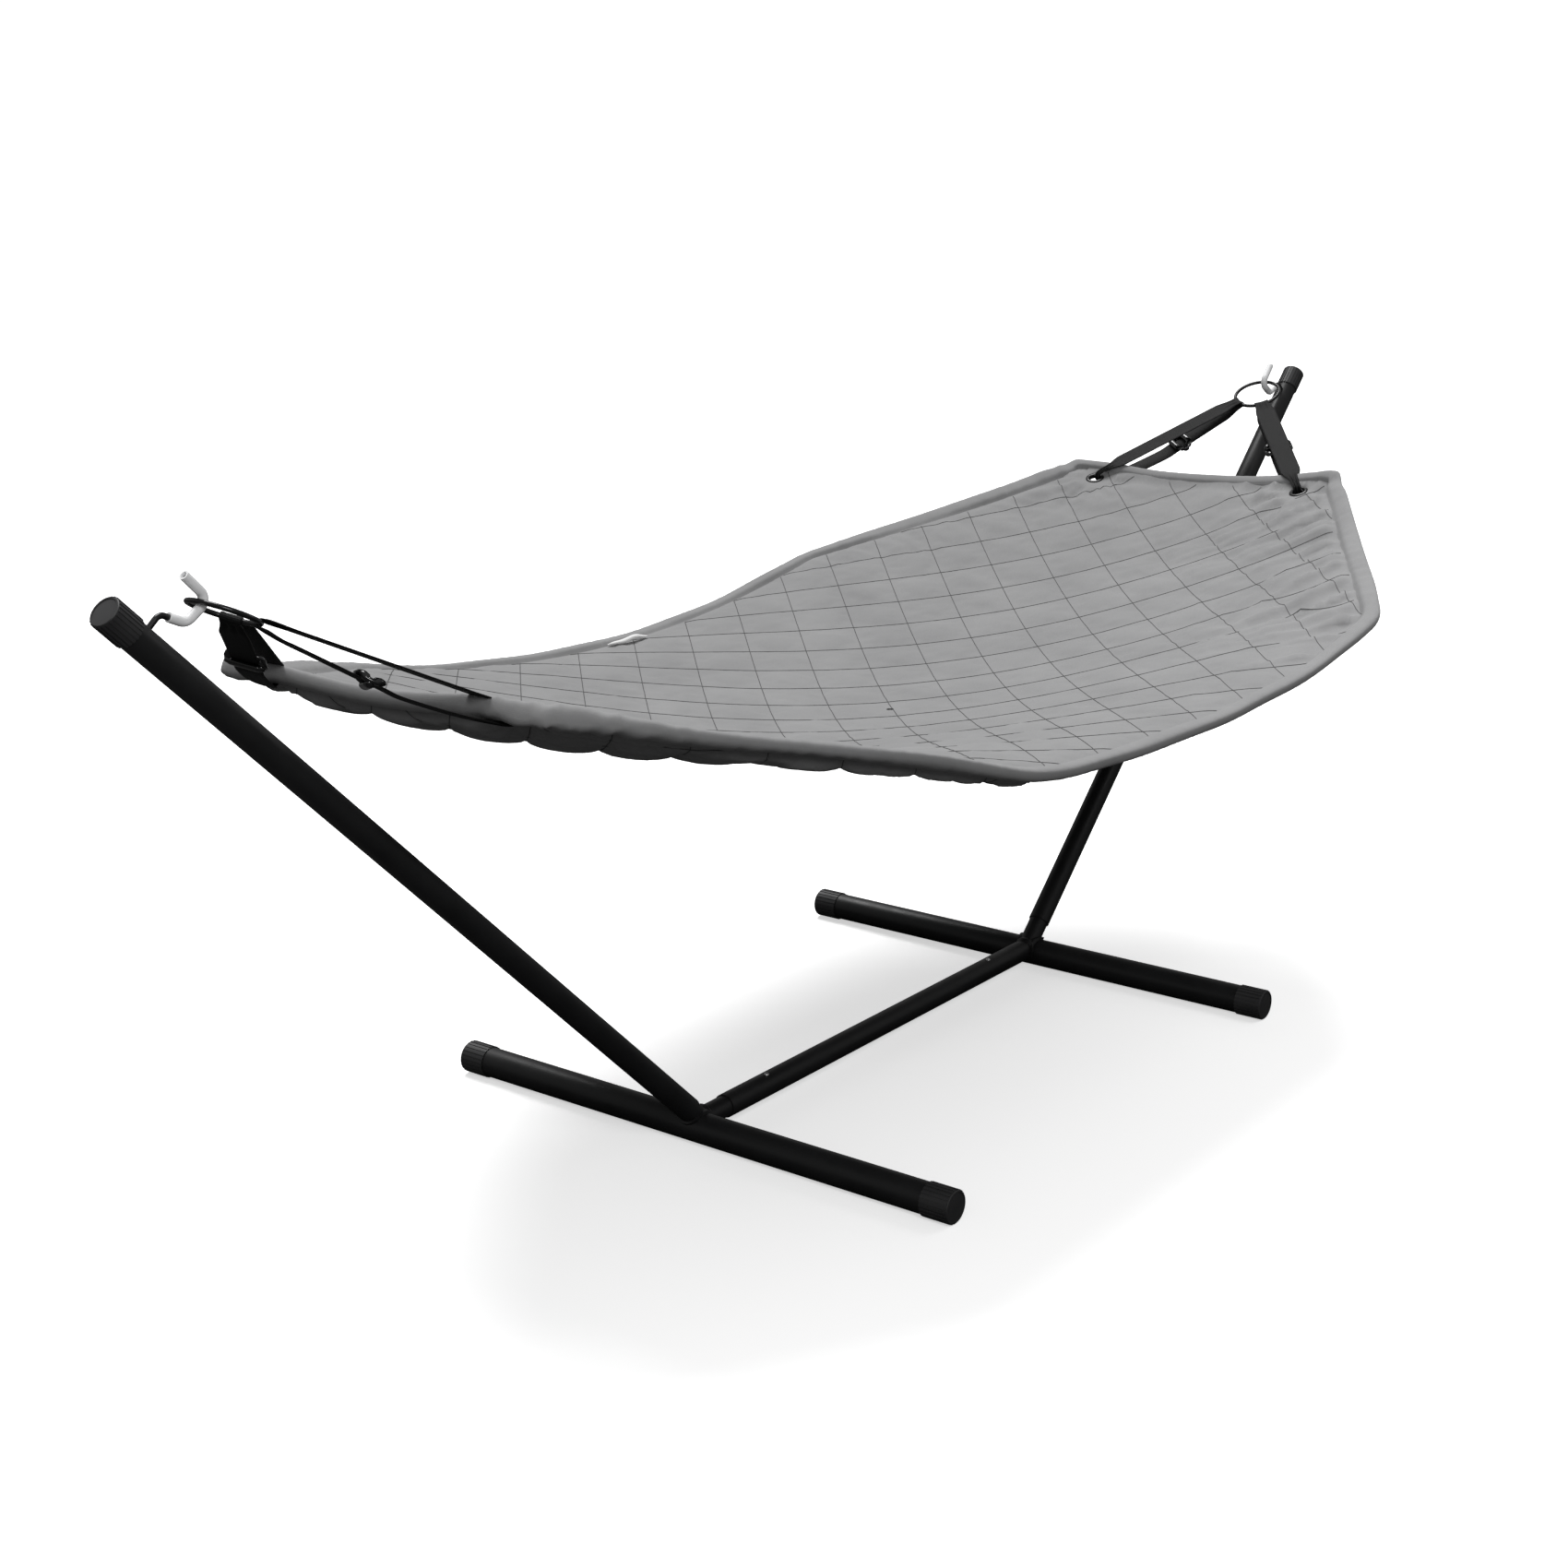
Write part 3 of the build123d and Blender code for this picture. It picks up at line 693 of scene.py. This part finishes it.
def sewn_down(x, y):
    """True on a stitch line, at the hem's seam and round the grommets and the eyelet."""
    a, b = stitch_coordinates(x, y)
    off_line = np.minimum(np.abs(a - np.round(a)), np.abs(b - np.round(b)))
    near_seam = edge_distance(x, y) < HEM_WIDTH - SEAM_OVERLAP + 0.003
    near_eyelet = np.hypot(x - EYELET.x, y - EYELET.y) < 0.012
    for end, side in CORNERS:
        grommet = box_centre(f"grommet_{corner_name(end, side)}")
        near_eyelet |= np.hypot(x - grommet.x, y - grommet.y) < 0.022
    return (off_line < 0.3 / CELL_STEPS) | near_seam | near_eyelet


def plain_puff(x, y):
    """A dome in every cell; scaled down, it is the simulated filling's starting shape."""
    a, b = stitch_coordinates(x, y)
    dome = np.abs(np.sin(np.pi * a) * np.sin(np.pi * b)) ** 0.55
    return dome * smooth_step(edge_distance(x, y), HEM_WIDTH, HEM_WIDTH + 0.03) * 0.010


def add_cloth(piece):
    """Cloth that is blown up by pressure and held by the points of its sewn group."""
    cloth = piece.modifiers.new("cloth", "CLOTH")
    settings = cloth.settings
    settings.quality = 4
    settings.mass = 0.25
    settings.tension_stiffness = 12
    settings.compression_stiffness = 12
    settings.shear_stiffness = 4
    settings.bending_stiffness = 0.12
    settings.tension_damping = 8
    settings.compression_damping = 8
    settings.shear_damping = 8
    settings.air_damping = 4
    settings.vertex_group_mass = "sewn"
    settings.pin_stiffness = 1.0
    settings.shrink_min = -SIM_STRETCH
    settings.shrink_max = -SIM_STRETCH
    settings.use_pressure = True
    settings.uniform_pressure_force = SIM_PRESSURE
    settings.effector_weights.gravity = 0
    cloth.point_cache.frame_start = 1
    cloth.point_cache.frame_end = SIM_FRAMES


def simulated_puff(plan):
    """Blows the sewn cover up with cloth simulation and returns how each point moved."""
    mesh = bpy.data.meshes.new("quilt_cloth")
    plan.to_mesh(mesh)
    cloth_piece = bpy.data.objects.new("quilt_cloth", mesh)
    bpy.context.scene.collection.objects.link(cloth_piece)
    rest = np.array([v.co for v in mesh.vertices])
    x, y = rest[:, 0], rest[:, 1]
    numbers = np.random.default_rng(SEED)
    sewn = sewn_down(x, y)
    rest_bumps = plain_puff(x, y) * 0.35 + numbers.uniform(0, 0.0006, len(x)) * ~sewn
    mesh.vertices.foreach_set("co", np.column_stack([x, y, rest_bumps]).ravel())
    group = cloth_piece.vertex_groups.new(name="sewn")
    group.add([int(i) for i in np.nonzero(sewn)[0]], 1.0, "REPLACE")
    add_cloth(cloth_piece)
    scene = bpy.context.scene
    for step in range(1, SIM_FRAMES + 1):
        scene.frame_set(step)
    evaluated = cloth_piece.evaluated_get(bpy.context.evaluated_depsgraph_get())
    moved = np.zeros(len(x) * 3)
    evaluated.data.vertices.foreach_get("co", moved)
    scene.frame_set(1)
    bpy.data.objects.remove(cloth_piece)
    shift = moved.reshape(-1, 3) - np.column_stack([x, y, np.zeros_like(x)])
    shift[:, :2] = np.clip(shift[:, :2], -SIM_DRIFT, SIM_DRIFT)
    shift[:, 2] = np.clip(shift[:, 2], -SIM_DRIFT, SIM_CAP)
    return shift


def edge_folds(x, y, number, start, direction, inward):
    """The folds that run in from one edge, tallest and sharpest from the slant at the front right."""
    slanting = abs(direction.y) > 0.1
    front_right = slanting and start.x > 0 and inward.y > 0
    depth = (x - start.x) * inward.x + (y - start.y) * inward.y - HEM_WIDTH
    along = (x - start.x) * direction.x + (y - start.y) * direction.y
    sweep = along + depth * (0.45 + 0.25 * np.sin(along * 13))
    if front_right:
        height, reach, wavelength = FRONT_RIGHT_FOLDS
        folds = np.exp(-np.abs(ripple(sweep, wavelength, number)) / 0.26) - 0.35
    else:
        height, reach, wavelength = SLANT_FOLDS if slanting else SIDE_FOLDS
        folds = 0.5 - np.abs(ripple(sweep, wavelength, number))
    patches = 0.70 + 0.30 * ripple(along, 0.30, 20 + number)
    return height * folds * patches * np.exp(-((np.maximum(depth, 0) / reach) ** 1.5))


def gathers(x, y):
    """Folds that run in from the slants and the sides, and fan out from the grommets."""
    total = np.zeros_like(x)
    for number, (start, direction, inward, is_end) in enumerate(outline_edges()):
        if not is_end:
            total += edge_folds(x, y, number, start, direction, inward)
    for number, (end, side) in enumerate(CORNERS):
        grommet = box_centre(f"grommet_{corner_name(end, side)}")
        dx, dy = x - grommet.x, y - grommet.y
        away = np.hypot(dx, dy)
        fan = ripple(np.arctan2(dy, dx), 0.62, 40 + number, terms=3)
        total += 0.0060 * fan * smooth_step(away, 0.018, 0.045) * np.exp(-((away / 0.14) ** 2))
    return total


def slack_waves(x, y):
    """Long shallow creases where the empty cloth isn't pulled tight."""
    diagonal = (x - y) / math.sqrt(2)
    across = (x + y) / math.sqrt(2)
    waves = ripple(across + 0.05 * np.sin(diagonal * 11), 0.055, 60) * ripple(diagonal, 0.24, 61)
    return 0.0011 * waves


def seam_distance(x, y):
    """Distance in from the hem's seam."""
    return edge_distance(x, y) - HEM_WIDTH


def pressed_flat(x, y):
    """1 under the flanges of the grommets and the eyelet, 0 away from them."""
    flat = 1 - smooth_step(np.hypot(x - EYELET.x, y - EYELET.y), 0.0065, 0.020)
    for end, side in CORNERS:
        grommet = box_centre(f"grommet_{corner_name(end, side)}")
        flat = np.maximum(flat, 1 - smooth_step(np.hypot(x - grommet.x, y - grommet.y), 0.021, 0.048))
    return flat


def quilt_lifts(x, y, puff):
    """How far the top and the underside stand off the middle; puff is 0 on a stitch line, 1 in a full cell."""
    from_seam = seam_distance(x, y)
    at_right_end = smooth_step(x, 1.09, 1.125)
    at_seam = smooth_step(from_seam, -SEAM_OVERLAP, 0.022)
    at_seam = at_seam + (1 - at_seam) * 0.4 * at_right_end
    near_edge = np.exp(-((np.maximum(from_seam, 0) / UNDER_SAG_REACH) ** 2))
    sag = UNDER_SAG * near_edge * (1 - 0.7 * smooth_step(np.abs(x), 0.7, 1.1))
    folds = gathers(x, y)
    top = (VALLEY + np.maximum(puff, 0) ** 1.5 * PUFF_TOP + slack_waves(x, y) + folds) * at_seam
    under = np.maximum((UNDER_VALLEY + sag + puff * PUFF_UNDER - 0.3 * folds) * at_seam, UNDER_LEAST)
    flat = pressed_flat(x, y)
    return top * (1 - flat) + PRESSED * flat, under * (1 - flat) + PRESSED * flat


def build_stitches(thread):
    """The quilting: a fine thread along every line of both families, on the top and on the underside. The
    thread is coloured darker than the cover, which paints the shade of the stitched valleys onto it.
    """
    run = np.arange(-STITCH_LINES * CELL_STEPS, STITCH_LINES * CELL_STEPS + 1) / CELL_STEPS
    points, faces = [], []
    for number in range(-STITCH_LINES, STITCH_LINES + 1):
        fixed = np.full_like(run, number)
        for x, y in (stitch_places(fixed, run), stitch_places(run, fixed)):
            inside = seam_distance(x, y) > 0.001
            if inside.sum() < 6:
                continue
            x, y = x[inside], y[inside]
            top, under = quilt_lifts(x, y, 0.0)
            for lift in (top + THREAD_STANDS_OUT, -under - THREAD_STANDS_OUT):
                line = quilt_points(x, y, lift)
                line_points, line_faces = tube_along(line, THREAD_R, sides=4)
                faces += [tuple(i + len(points) for i in f) for f in line_faces]
                points += line_points
    stitches = mesh_object("stitching", points, faces, thread)
    fix_normals(stitches)
    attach(stitches, "sling")


def build_quilt(cover):
    """The padded quilt: both covers over the filling, sewn down along the stitching."""
    plan = quilt_plan()
    open_grommets(plan)
    plan.verts.ensure_lookup_table()
    flat = np.array([v.co for v in plan.verts])
    x, y = flat[:, 0], flat[:, 1]
    faces = [[v.index for v in f.verts] for f in plan.faces]
    border = [(e.verts[0].index, e.verts[1].index) for e in plan.edges if e.is_boundary]
    shift = simulated_puff(plan)
    plan.free()
    puff = shift[:, 2] / np.percentile(shift[:, 2], 92)
    top, under = quilt_lifts(x, y, puff)
    count = len(x)
    top_points = quilt_points(x + shift[:, 0], y + shift[:, 1], top)
    under_points = quilt_points(x + shift[:, 0], y + shift[:, 1], -under)
    quads = faces + [[i + count for i in reversed(f)] for f in faces]
    quads += [[i, j, j + count, i + count] for i, j in border]
    quilt = mesh_object("hammock_quilt", np.vstack([top_points, under_points]), quads, cover)
    fix_normals(quilt)
    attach(quilt, "sling")
    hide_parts("hammock_top_cover", "hammock_wadding", "hammock_under_cover")


# ---- hem
HEM_SIDES = 24


def hem_line():
    """Round the outline: x, y, the inward normal's x and y, the eased width and the turn in radians."""
    places, normals, widths = rounded_outline()
    px = np.array([p.x for p in places])
    py = np.array([p.y for p in places])
    nx = np.array([n.x for n in normals])
    ny = np.array([n.y for n in normals])
    width = np.array(widths)
    for _ in range(6):
        width = (np.roll(width, 1) + width + np.roll(width, -1)) / 3
    step = np.hypot(np.roll(px, -1) - px, np.roll(py, -1) - py)
    along = np.concatenate([[0], np.cumsum(step)[:-1]])
    return px, py, nx, ny, width, along / step.sum() * 2 * np.pi


def hem_puckers(turn, slanting, crumple, across, k):
    """The hem's small puckers, the finer ones of its thread, and its crumples."""
    puckers = (0.0003 + 0.0006 * slanting) * ripple_round(turn, 190, k * 0.05) * (0.4 + 0.6 * (across > -0.6))
    puckers += 0.0003 * ripple_round(turn, 430, 3 + k * 0.08)
    puckers += 0.95 * crumple * (0.45 - np.abs(ripple_round(turn, 88, k * 0.16)))
    return puckers


def hem_fullness(x, crumple, up):
    """How far the hem stands above or below its middle: more where it is crumpled, less at the right end."""
    fullness = 0.0100 + 0.9 * crumple if up > 0 else 0.0105 + 0.3 * crumple
    return fullness * (1 - 0.45 * smooth_step(x, 1.12, 1.15))


def build_hem(cover):
    """The wide rolled hem: a flattened tube round the whole outline, with its seam on the inside."""
    px, py, nx, ny, width, turn = hem_line()
    past_side_corner = smooth_step(np.abs(px), CORNER_X - 0.05, CORNER_X + 0.12)
    slanting = past_side_corner * (1 - smooth_step(np.abs(px), 1.08, 1.15))
    bulge = 0.005 * slanting
    crumple = crumpling(px, py)
    wobble = 0.0014 * np.sin(9 * turn + 1) + 0.0010 * np.sin(23 * turn + 2)
    tilt = np.radians(8 + 5 * np.sin(7 * turn) + 4 * np.sin(17 * turn + 1)) * (0.5 + 0.5 * slanting)
    rows = []
    for k in range(HEM_SIDES):
        angle = 2 * np.pi * k / HEM_SIDES
        across = np.cos(angle)
        up = np.sin(angle)
        puckers = hem_puckers(turn, slanting, crumple, across, k)
        fullness = hem_fullness(px, crumple, up)
        inset = width / 2 * (1 + np.sign(across) * np.abs(across) ** 0.8) + 0.0015 * (across > 0)
        inset = inset - bulge * (1 - across) / 2
        lift = fullness * np.sign(up) * np.abs(up) ** 0.75 + puckers * np.sign(up + 0.01)
        outwards = width / 2 - inset
        inset = inset - lift * np.sin(tilt) * 0.6
        lift = lift + outwards * np.sin(tilt) + wobble
        pinch = smooth_step(across, 0.55, 1.0)
        lift = lift * (1 - 0.85 * pinch)
        rows.append(quilt_points(px + nx * inset, py + ny * inset, lift))
    points = np.stack(rows, axis=1).reshape(-1, 3)
    hem = mesh_object("hem", points, ring_faces(len(px), HEM_SIDES), cover)
    fix_normals(hem)
    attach(hem, "sling")


def crumpling(x, y):
    """How strongly the hem is crumpled: most at the left end's corners, a little at the right end's."""
    strength = np.zeros_like(x)
    for side, height, reach in ((FRONT, 0.0080, 0.13), (BACK, 0.0065, 0.10)):
        away = np.hypot(x + HALF_LENGTH - 0.02, y - side * END_HALF_WIDTH)
        strength += height * np.exp(-((away / reach) ** 2))
    for side in (FRONT, BACK):
        away = np.hypot(x - HALF_LENGTH + 0.02, y - side * END_HALF_WIDTH)
        strength += 0.0025 * np.exp(-((away / 0.07) ** 2))
    return strength


def ripple_round(turn, waves, phase):
    """An uneven wave round the whole outline, which meets itself."""
    total = np.sin(waves * turn + phase) * (0.6 + 0.4 * np.sin(11 * turn + phase))
    total += 0.6 * np.sin(round(waves * 0.63) * turn + 2 + phase)
    total += 0.4 * np.sin(round(waves * 1.41) * turn + 4 + phase)
    return total / 1.6


# ---- eyelets
def build_eyelet(name, node, hole_r, flange_r, steel):
    """A pressed eyelet: rolled flanges on both faces, joined through the hole that they pinch flat."""
    centre = box_centre(node)
    normal = Vector(quilt_normal(centre.x, centre.y))
    first = normal.cross(Vector((0, 1, 0))).normalized()
    second = normal.cross(first)
    face = PRESSED + 0.0004
    crown = (flange_r - hole_r) * 0.22
    wall = min(0.0009, hole_r * 0.25)
    half = [
        (flange_r, face), (flange_r - 0.0004, face + crown * 0.6), ((flange_r + hole_r) / 2, face + crown),
        (hole_r + crown, face + crown), (hole_r, face), (hole_r - wall * 0.2, face * 0.4),
    ]
    profile = half + [(r, -h) for r, h in reversed(half)]
    profile += [(hole_r + wall, -face), (hole_r + wall, face)]
    around = 48
    points = []
    for k in range(around):
        angle = 2 * math.pi * k / around
        outward = first * math.cos(angle) + second * math.sin(angle)
        points += [centre + outward * r + normal * h for r, h in profile]
    eyelet = mesh_object(name, points, ring_faces(around, len(profile)), steel)
    fix_normals(eyelet)
    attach(eyelet, "sling")
    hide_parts(node)


# ---- straps
RING_SLOPE = math.radians(27)
RING_R = 0.046
STRAP_HALF_WIDTH = 0.020
STRAP_THICKNESS = 0.0018
STRAP_ROWS = 15
STRAP_STATIONS = 260
WRAP_R = 0.0050
# The lower run leans away from the upper one by this drop over this length
LEAN_DROP, LEAN_RUN = 0.0245, 0.199


def strap_frame(end, side):
    """The strap's own frame: u from the ring to the grommet, v up, w across; and its length."""
    ring_centre = box_centre(f"ring_{END_NAMES[end]}")
    grommet = box_centre(f"grommet_{corner_name(end, side)}")
    grommet += Vector(quilt_normal(grommet.x, grommet.y)) * HALF_THICKNESS
    inboard = Vector((-end * math.cos(RING_SLOPE), 0, -math.sin(RING_SLOPE)))
    sideways = Vector((0, side, 0))
    to_grommet = grommet - ring_centre
    angle = math.atan2(to_grommet.dot(sideways), to_grommet.dot(inboard))
    start = ring_centre + (inboard * math.cos(angle) + sideways * math.sin(angle)) * RING_R
    along = (grommet - start).normalized()
    tangent = inboard * -math.sin(angle) + sideways * math.cos(angle)
    across = (tangent - along * tangent.dot(along)).normalized() * (end * side)
    upward = across.cross(along)
    return start, along, upward, across, (grommet - start).length


def strap_route(length):
    """The loop's centre line in (u, v): round the ring, over the hem, down the grommet and back."""
    angles = np.radians([-75, -45, -15, 15, 45, 75])
    round_ring = [(-WRAP_R * math.cos(a), WRAP_R * math.sin(a)) for a in angles]
    upper_run = [(length * share, 0.0052 - 0.001 * share) for share in (0.04, 0.12, 0.3, 0.5, 0.7, 0.85)]
    # Each pair is the distance back from the grommet and the height
    through_grommet = [
        (0.026, 0.0042), (0.016, 0.0036), (0.0085, 0.0012), (0.0045, -0.0045),
        (0.0040, -0.0110), (0.0085, -0.0165), (0.018, -0.0195), (0.03, -0.0215),
    ]
    under_hem = [(0.0575, -0.0262), (0.095, -0.0293)]
    backwards = (0.165, 0.13, 0.095, 0.06, 0.03)
    lower_run = [(u, -0.0058 - (u + 0.009) * LEAN_DROP / LEAN_RUN - 0.0007) for u in backwards]
    at_grommet = [(length - back, v) for back, v in through_grommet + under_hem]
    return round_ring + upper_run + at_grommet + [(0.190, -0.0308)] + lower_run + [(0.012, -0.0072)]


def resampled(points, count):
    """A closed smooth curve through points, as count evenly spaced points (Catmull-Rom)."""
    points = np.array(points)
    dense = []
    for i in range(len(points)):
        p0, p1, p2, p3 = (points[(i + k - 1) % len(points)] for k in range(4))
        for t in np.linspace(0, 1, 12, endpoint=False):
            dense.append(0.5 * (2 * p1 + (p2 - p0) * t + (2 * p0 - 5 * p1 + 4 * p2 - p3) * t**2
                                + (3 * p1 - p0 - 3 * p2 + p3) * t**3))
    dense = np.array(dense + dense[:1])
    run = np.concatenate([[0], np.cumsum(np.linalg.norm(np.diff(dense, axis=0), axis=1))])
    at = np.linspace(0, run[-1], count, endpoint=False)
    return np.column_stack([np.interp(at, run, dense[:, k]) for k in range(dense.shape[1])]), run[-1]


def build_strap(end, side, webbing):
    """One webbing loop, gathered at the ring and pleated where it passes through the grommet."""
    start, along, upward, across, length = strap_frame(end, side)
    line, run = resampled(strap_route(length), STRAP_STATIONS)
    u, v = line[:, 0], line[:, 1]
    tangent = np.roll(line, -1, axis=0) - np.roll(line, 1, axis=0)
    tangent /= np.linalg.norm(tangent, axis=1)[:, None]
    normal = np.column_stack([-tangent[:, 1], tangent[:, 0]])
    at_ring = 1 - smooth_step(u, 0.004, 0.045)
    at_grommet = smooth_step(u, length - 0.070, length - 0.022)
    half_width = STRAP_HALF_WIDTH * (1 - 0.30 * at_ring) * (1 - 0.60 * at_grommet)
    bend = (1 - smooth_step(u, 0.0, 0.030)) / (2 * RING_R)
    shares = np.linspace(-1, 1, STRAP_ROWS)
    seed = 3 * (end + 1) + side
    outer, inner = [], []
    for share in shares:
        w = half_width * share
        pleat_height = 0.0016 * at_ring * smooth_step(u, -0.004, 0.012) + 0.0022 * at_grommet
        pleats = np.cos(share * 8.5 + seed) * pleat_height
        edge_round = 1 - 0.5 * (abs(share) > 0.99)
        base_u = u - bend * w**2 + normal[:, 0] * pleats
        base_v = v + normal[:, 1] * pleats
        for rows, sign in ((outer, 1), (inner, -1)):
            half = sign * STRAP_THICKNESS / 2 * edge_round
            rows.append((base_u + normal[:, 0] * half, base_v + normal[:, 1] * half, w))
    rows = outer + inner[::-1]
    columns = len(rows)
    points = []
    for i in range(STRAP_STATIONS):
        for base_u, base_v, w in rows:
            points.append(start + along * base_u[i] + upward * base_v[i] + across * w[i])
    name = f"webbing_{corner_name(end, side)}"
    strap = mesh_object(name, points, ring_faces(STRAP_STATIONS, columns), webbing)
    add_strap_uv(strap, columns, run, shares)
    fix_normals(strap)
    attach(strap, "sling")
    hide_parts(f"strap_{corner_name(end, side)}")


def add_strap_uv(strap, columns, run, shares):
    """UVs in metres along and across the webbing, so that its weave runs true."""
    across = [share * STRAP_HALF_WIDTH for share in shares]
    across = across + across[::-1]
    layer = strap.data.uv_layers.new(name="UVMap")
    for polygon in strap.data.polygons:
        numbers = [strap.data.loops[i].vertex_index for i in polygon.loop_indices]
        stations_here = [n // columns for n in numbers]
        wraps = max(stations_here) - min(stations_here) > 1
        for loop, number in zip(polygon.loop_indices, numbers):
            station = number // columns
            if wraps and station == 0:
                station = STRAP_STATIONS
            layer.data[loop].uv = (run * station / STRAP_STATIONS, across[number % columns])


# ---- buckles
BUCKLE_HALF_WIDTH = 0.0225
BUCKLE_HALF_LENGTH = 0.0140
BUCKLE_CORNER_R = 0.0100
# The rails' half width along the strap, and how many times flatter they are through it
RAIL_R = 0.0066
RAIL_FLATNESS = 1.7
# How far the frame's and the bar's middles stand over and under the webbing's
RAIL_OFFSET = 0.0052
WEBBING_EDGE = 0.0208


def buckle_lines():
    """Centre lines of the frame and of the middle bar in (along, across, up); they meet beside the webbing."""
    frame_line = []
    for sx, sy, first in ((1, 1, 0), (-1, 1, 90), (-1, -1, 180), (1, -1, 270)):
        for angle in range(first, first + 91, 15):
            w = sx * (BUCKLE_HALF_WIDTH - BUCKLE_CORNER_R) + BUCKLE_CORNER_R * math.cos(math.radians(angle))
            u = sy * (BUCKLE_HALF_LENGTH - BUCKLE_CORNER_R) + BUCKLE_CORNER_R * math.sin(math.radians(angle))
            beside = smooth_step(abs(w), WEBBING_EDGE, BUCKLE_HALF_WIDTH)
            frame_line.append((u, w, RAIL_OFFSET - RAIL_OFFSET * 0.9 * beside))
    bar_line = []
    for w in np.linspace(-BUCKLE_HALF_WIDTH, BUCKLE_HALF_WIDTH, 25):
        beside = smooth_step(abs(w), WEBBING_EDGE, BUCKLE_HALF_WIDTH)
        bar_line.append((0.0, w, -RAIL_OFFSET + RAIL_OFFSET * 1.1 * beside))
    return frame_line, bar_line


def build_buckle(end, side, steel):
    """A chunky tri-glide: a rounded frame over the webbing and a middle bar under it, both with oval rails."""
    _, along, upward, across, _ = strap_frame(end, side)
    name = f"buckle_{corner_name(end, side)}"
    centre = box_centre(name)
    lean = math.atan2(LEAN_DROP, LEAN_RUN)
    run = along * math.cos(lean) - upward * math.sin(lean)
    up = upward * math.cos(lean) + along * math.sin(lean)
    points, faces = [], []
    for line, closed in zip(buckle_lines(), (True, False)):
        stretched = [(u, w, v * RAIL_FLATNESS) for u, w, v in line]
        rail_points, rail_faces = tube_along(stretched, RAIL_R, sides=14, closed=closed)
        faces += [tuple(i + len(points) for i in f) for f in rail_faces]
        points += rail_points
    placed = [centre + run * p[0] + across * p[1] + up * (p[2] / RAIL_FLATNESS) for p in points]
    buckle = mesh_object(f"tri_glide_{corner_name(end, side)}", placed, faces, steel)
    fix_normals(buckle)
    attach(buckle, name)
    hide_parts(name)


# ---- label
LABEL_HALF_WIDTH = 0.0085
LABEL_THICKNESS = 0.0005


def build_label(tape):
    """The blank tape folded over and sewn in by its ends, so that it stands off the quilt in a low arch."""
    low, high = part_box("side_label")
    centre = (low + high) / 2
    half_length = (high.x - low.x) / 2
    along = np.linspace(-1, 1, 25)
    around = np.linspace(0, 2 * np.pi, 16, endpoint=False)
    rows = []
    for t in along:
        fold = 0.0016 + 0.0035 * (1 - t**2)
        narrow = LABEL_HALF_WIDTH * (0.35 + 0.65 * (1 - t**4))
        for angle in around:
            across = narrow * math.cos(angle) - 0.12 * t * LABEL_HALF_WIDTH
            lift = fold * (1 + math.sin(angle)) * (1 - 0.6 * (math.cos(angle) > 0)) + LABEL_THICKNESS
            x = centre.x + half_length * t
            y = centre.y - 0.004 + across
            rows.append(quilt_points(x, y, HALF_THICKNESS - 0.001 + lift + 0.0015 * math.sin(t * 5)))
    points = [tuple(p) for p in rows]
    faces = ring_faces(len(along), len(around), closed_rows=False)
    faces += [tuple(range(len(around))), tuple(len(points) - 1 - k for k in range(len(around)))]
    label = mesh_object("label_tab", points, faces, tape)
    fix_normals(label)
    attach(label, "sling")
    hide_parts("side_label")


# ---- make everything
add_camera()
add_studio()
dress_frame()
grey_cover = woven_cover("grey_cover", (0.20, 0.20, 0.203), (0.27, 0.27, 0.272))
build_quilt(grey_cover)
build_hem(grey_cover)
# The thread's dark grey is partly painted shade: the shade of the stitched valleys, painted into the thread
build_stitches(plain_material("thread_painted_valley_shade", (0.088, 0.088, 0.089), 0.8, specular=0.2))
webbing_material = woven_webbing()
buckle_steel = black_steel("buckle_enamel", 0.13, specular=0.8)
eyelet_steel = black_steel("eyelet_enamel", 0.30)
build_eyelet("drain_ring", "drain_eyelet", 0.0025, 0.0060, eyelet_steel)
for corner_end, corner_side in CORNERS:
    corner = corner_name(corner_end, corner_side)
    build_eyelet(f"eyelet_{corner}", f"grommet_{corner}", 0.011, 0.019, eyelet_steel)
    build_strap(corner_end, corner_side, webbing_material)
    build_buckle(corner_end, corner_side, buckle_steel)
build_label(woven_cover("label_tape", (0.70, 0.70, 0.70), (0.84, 0.84, 0.84)))
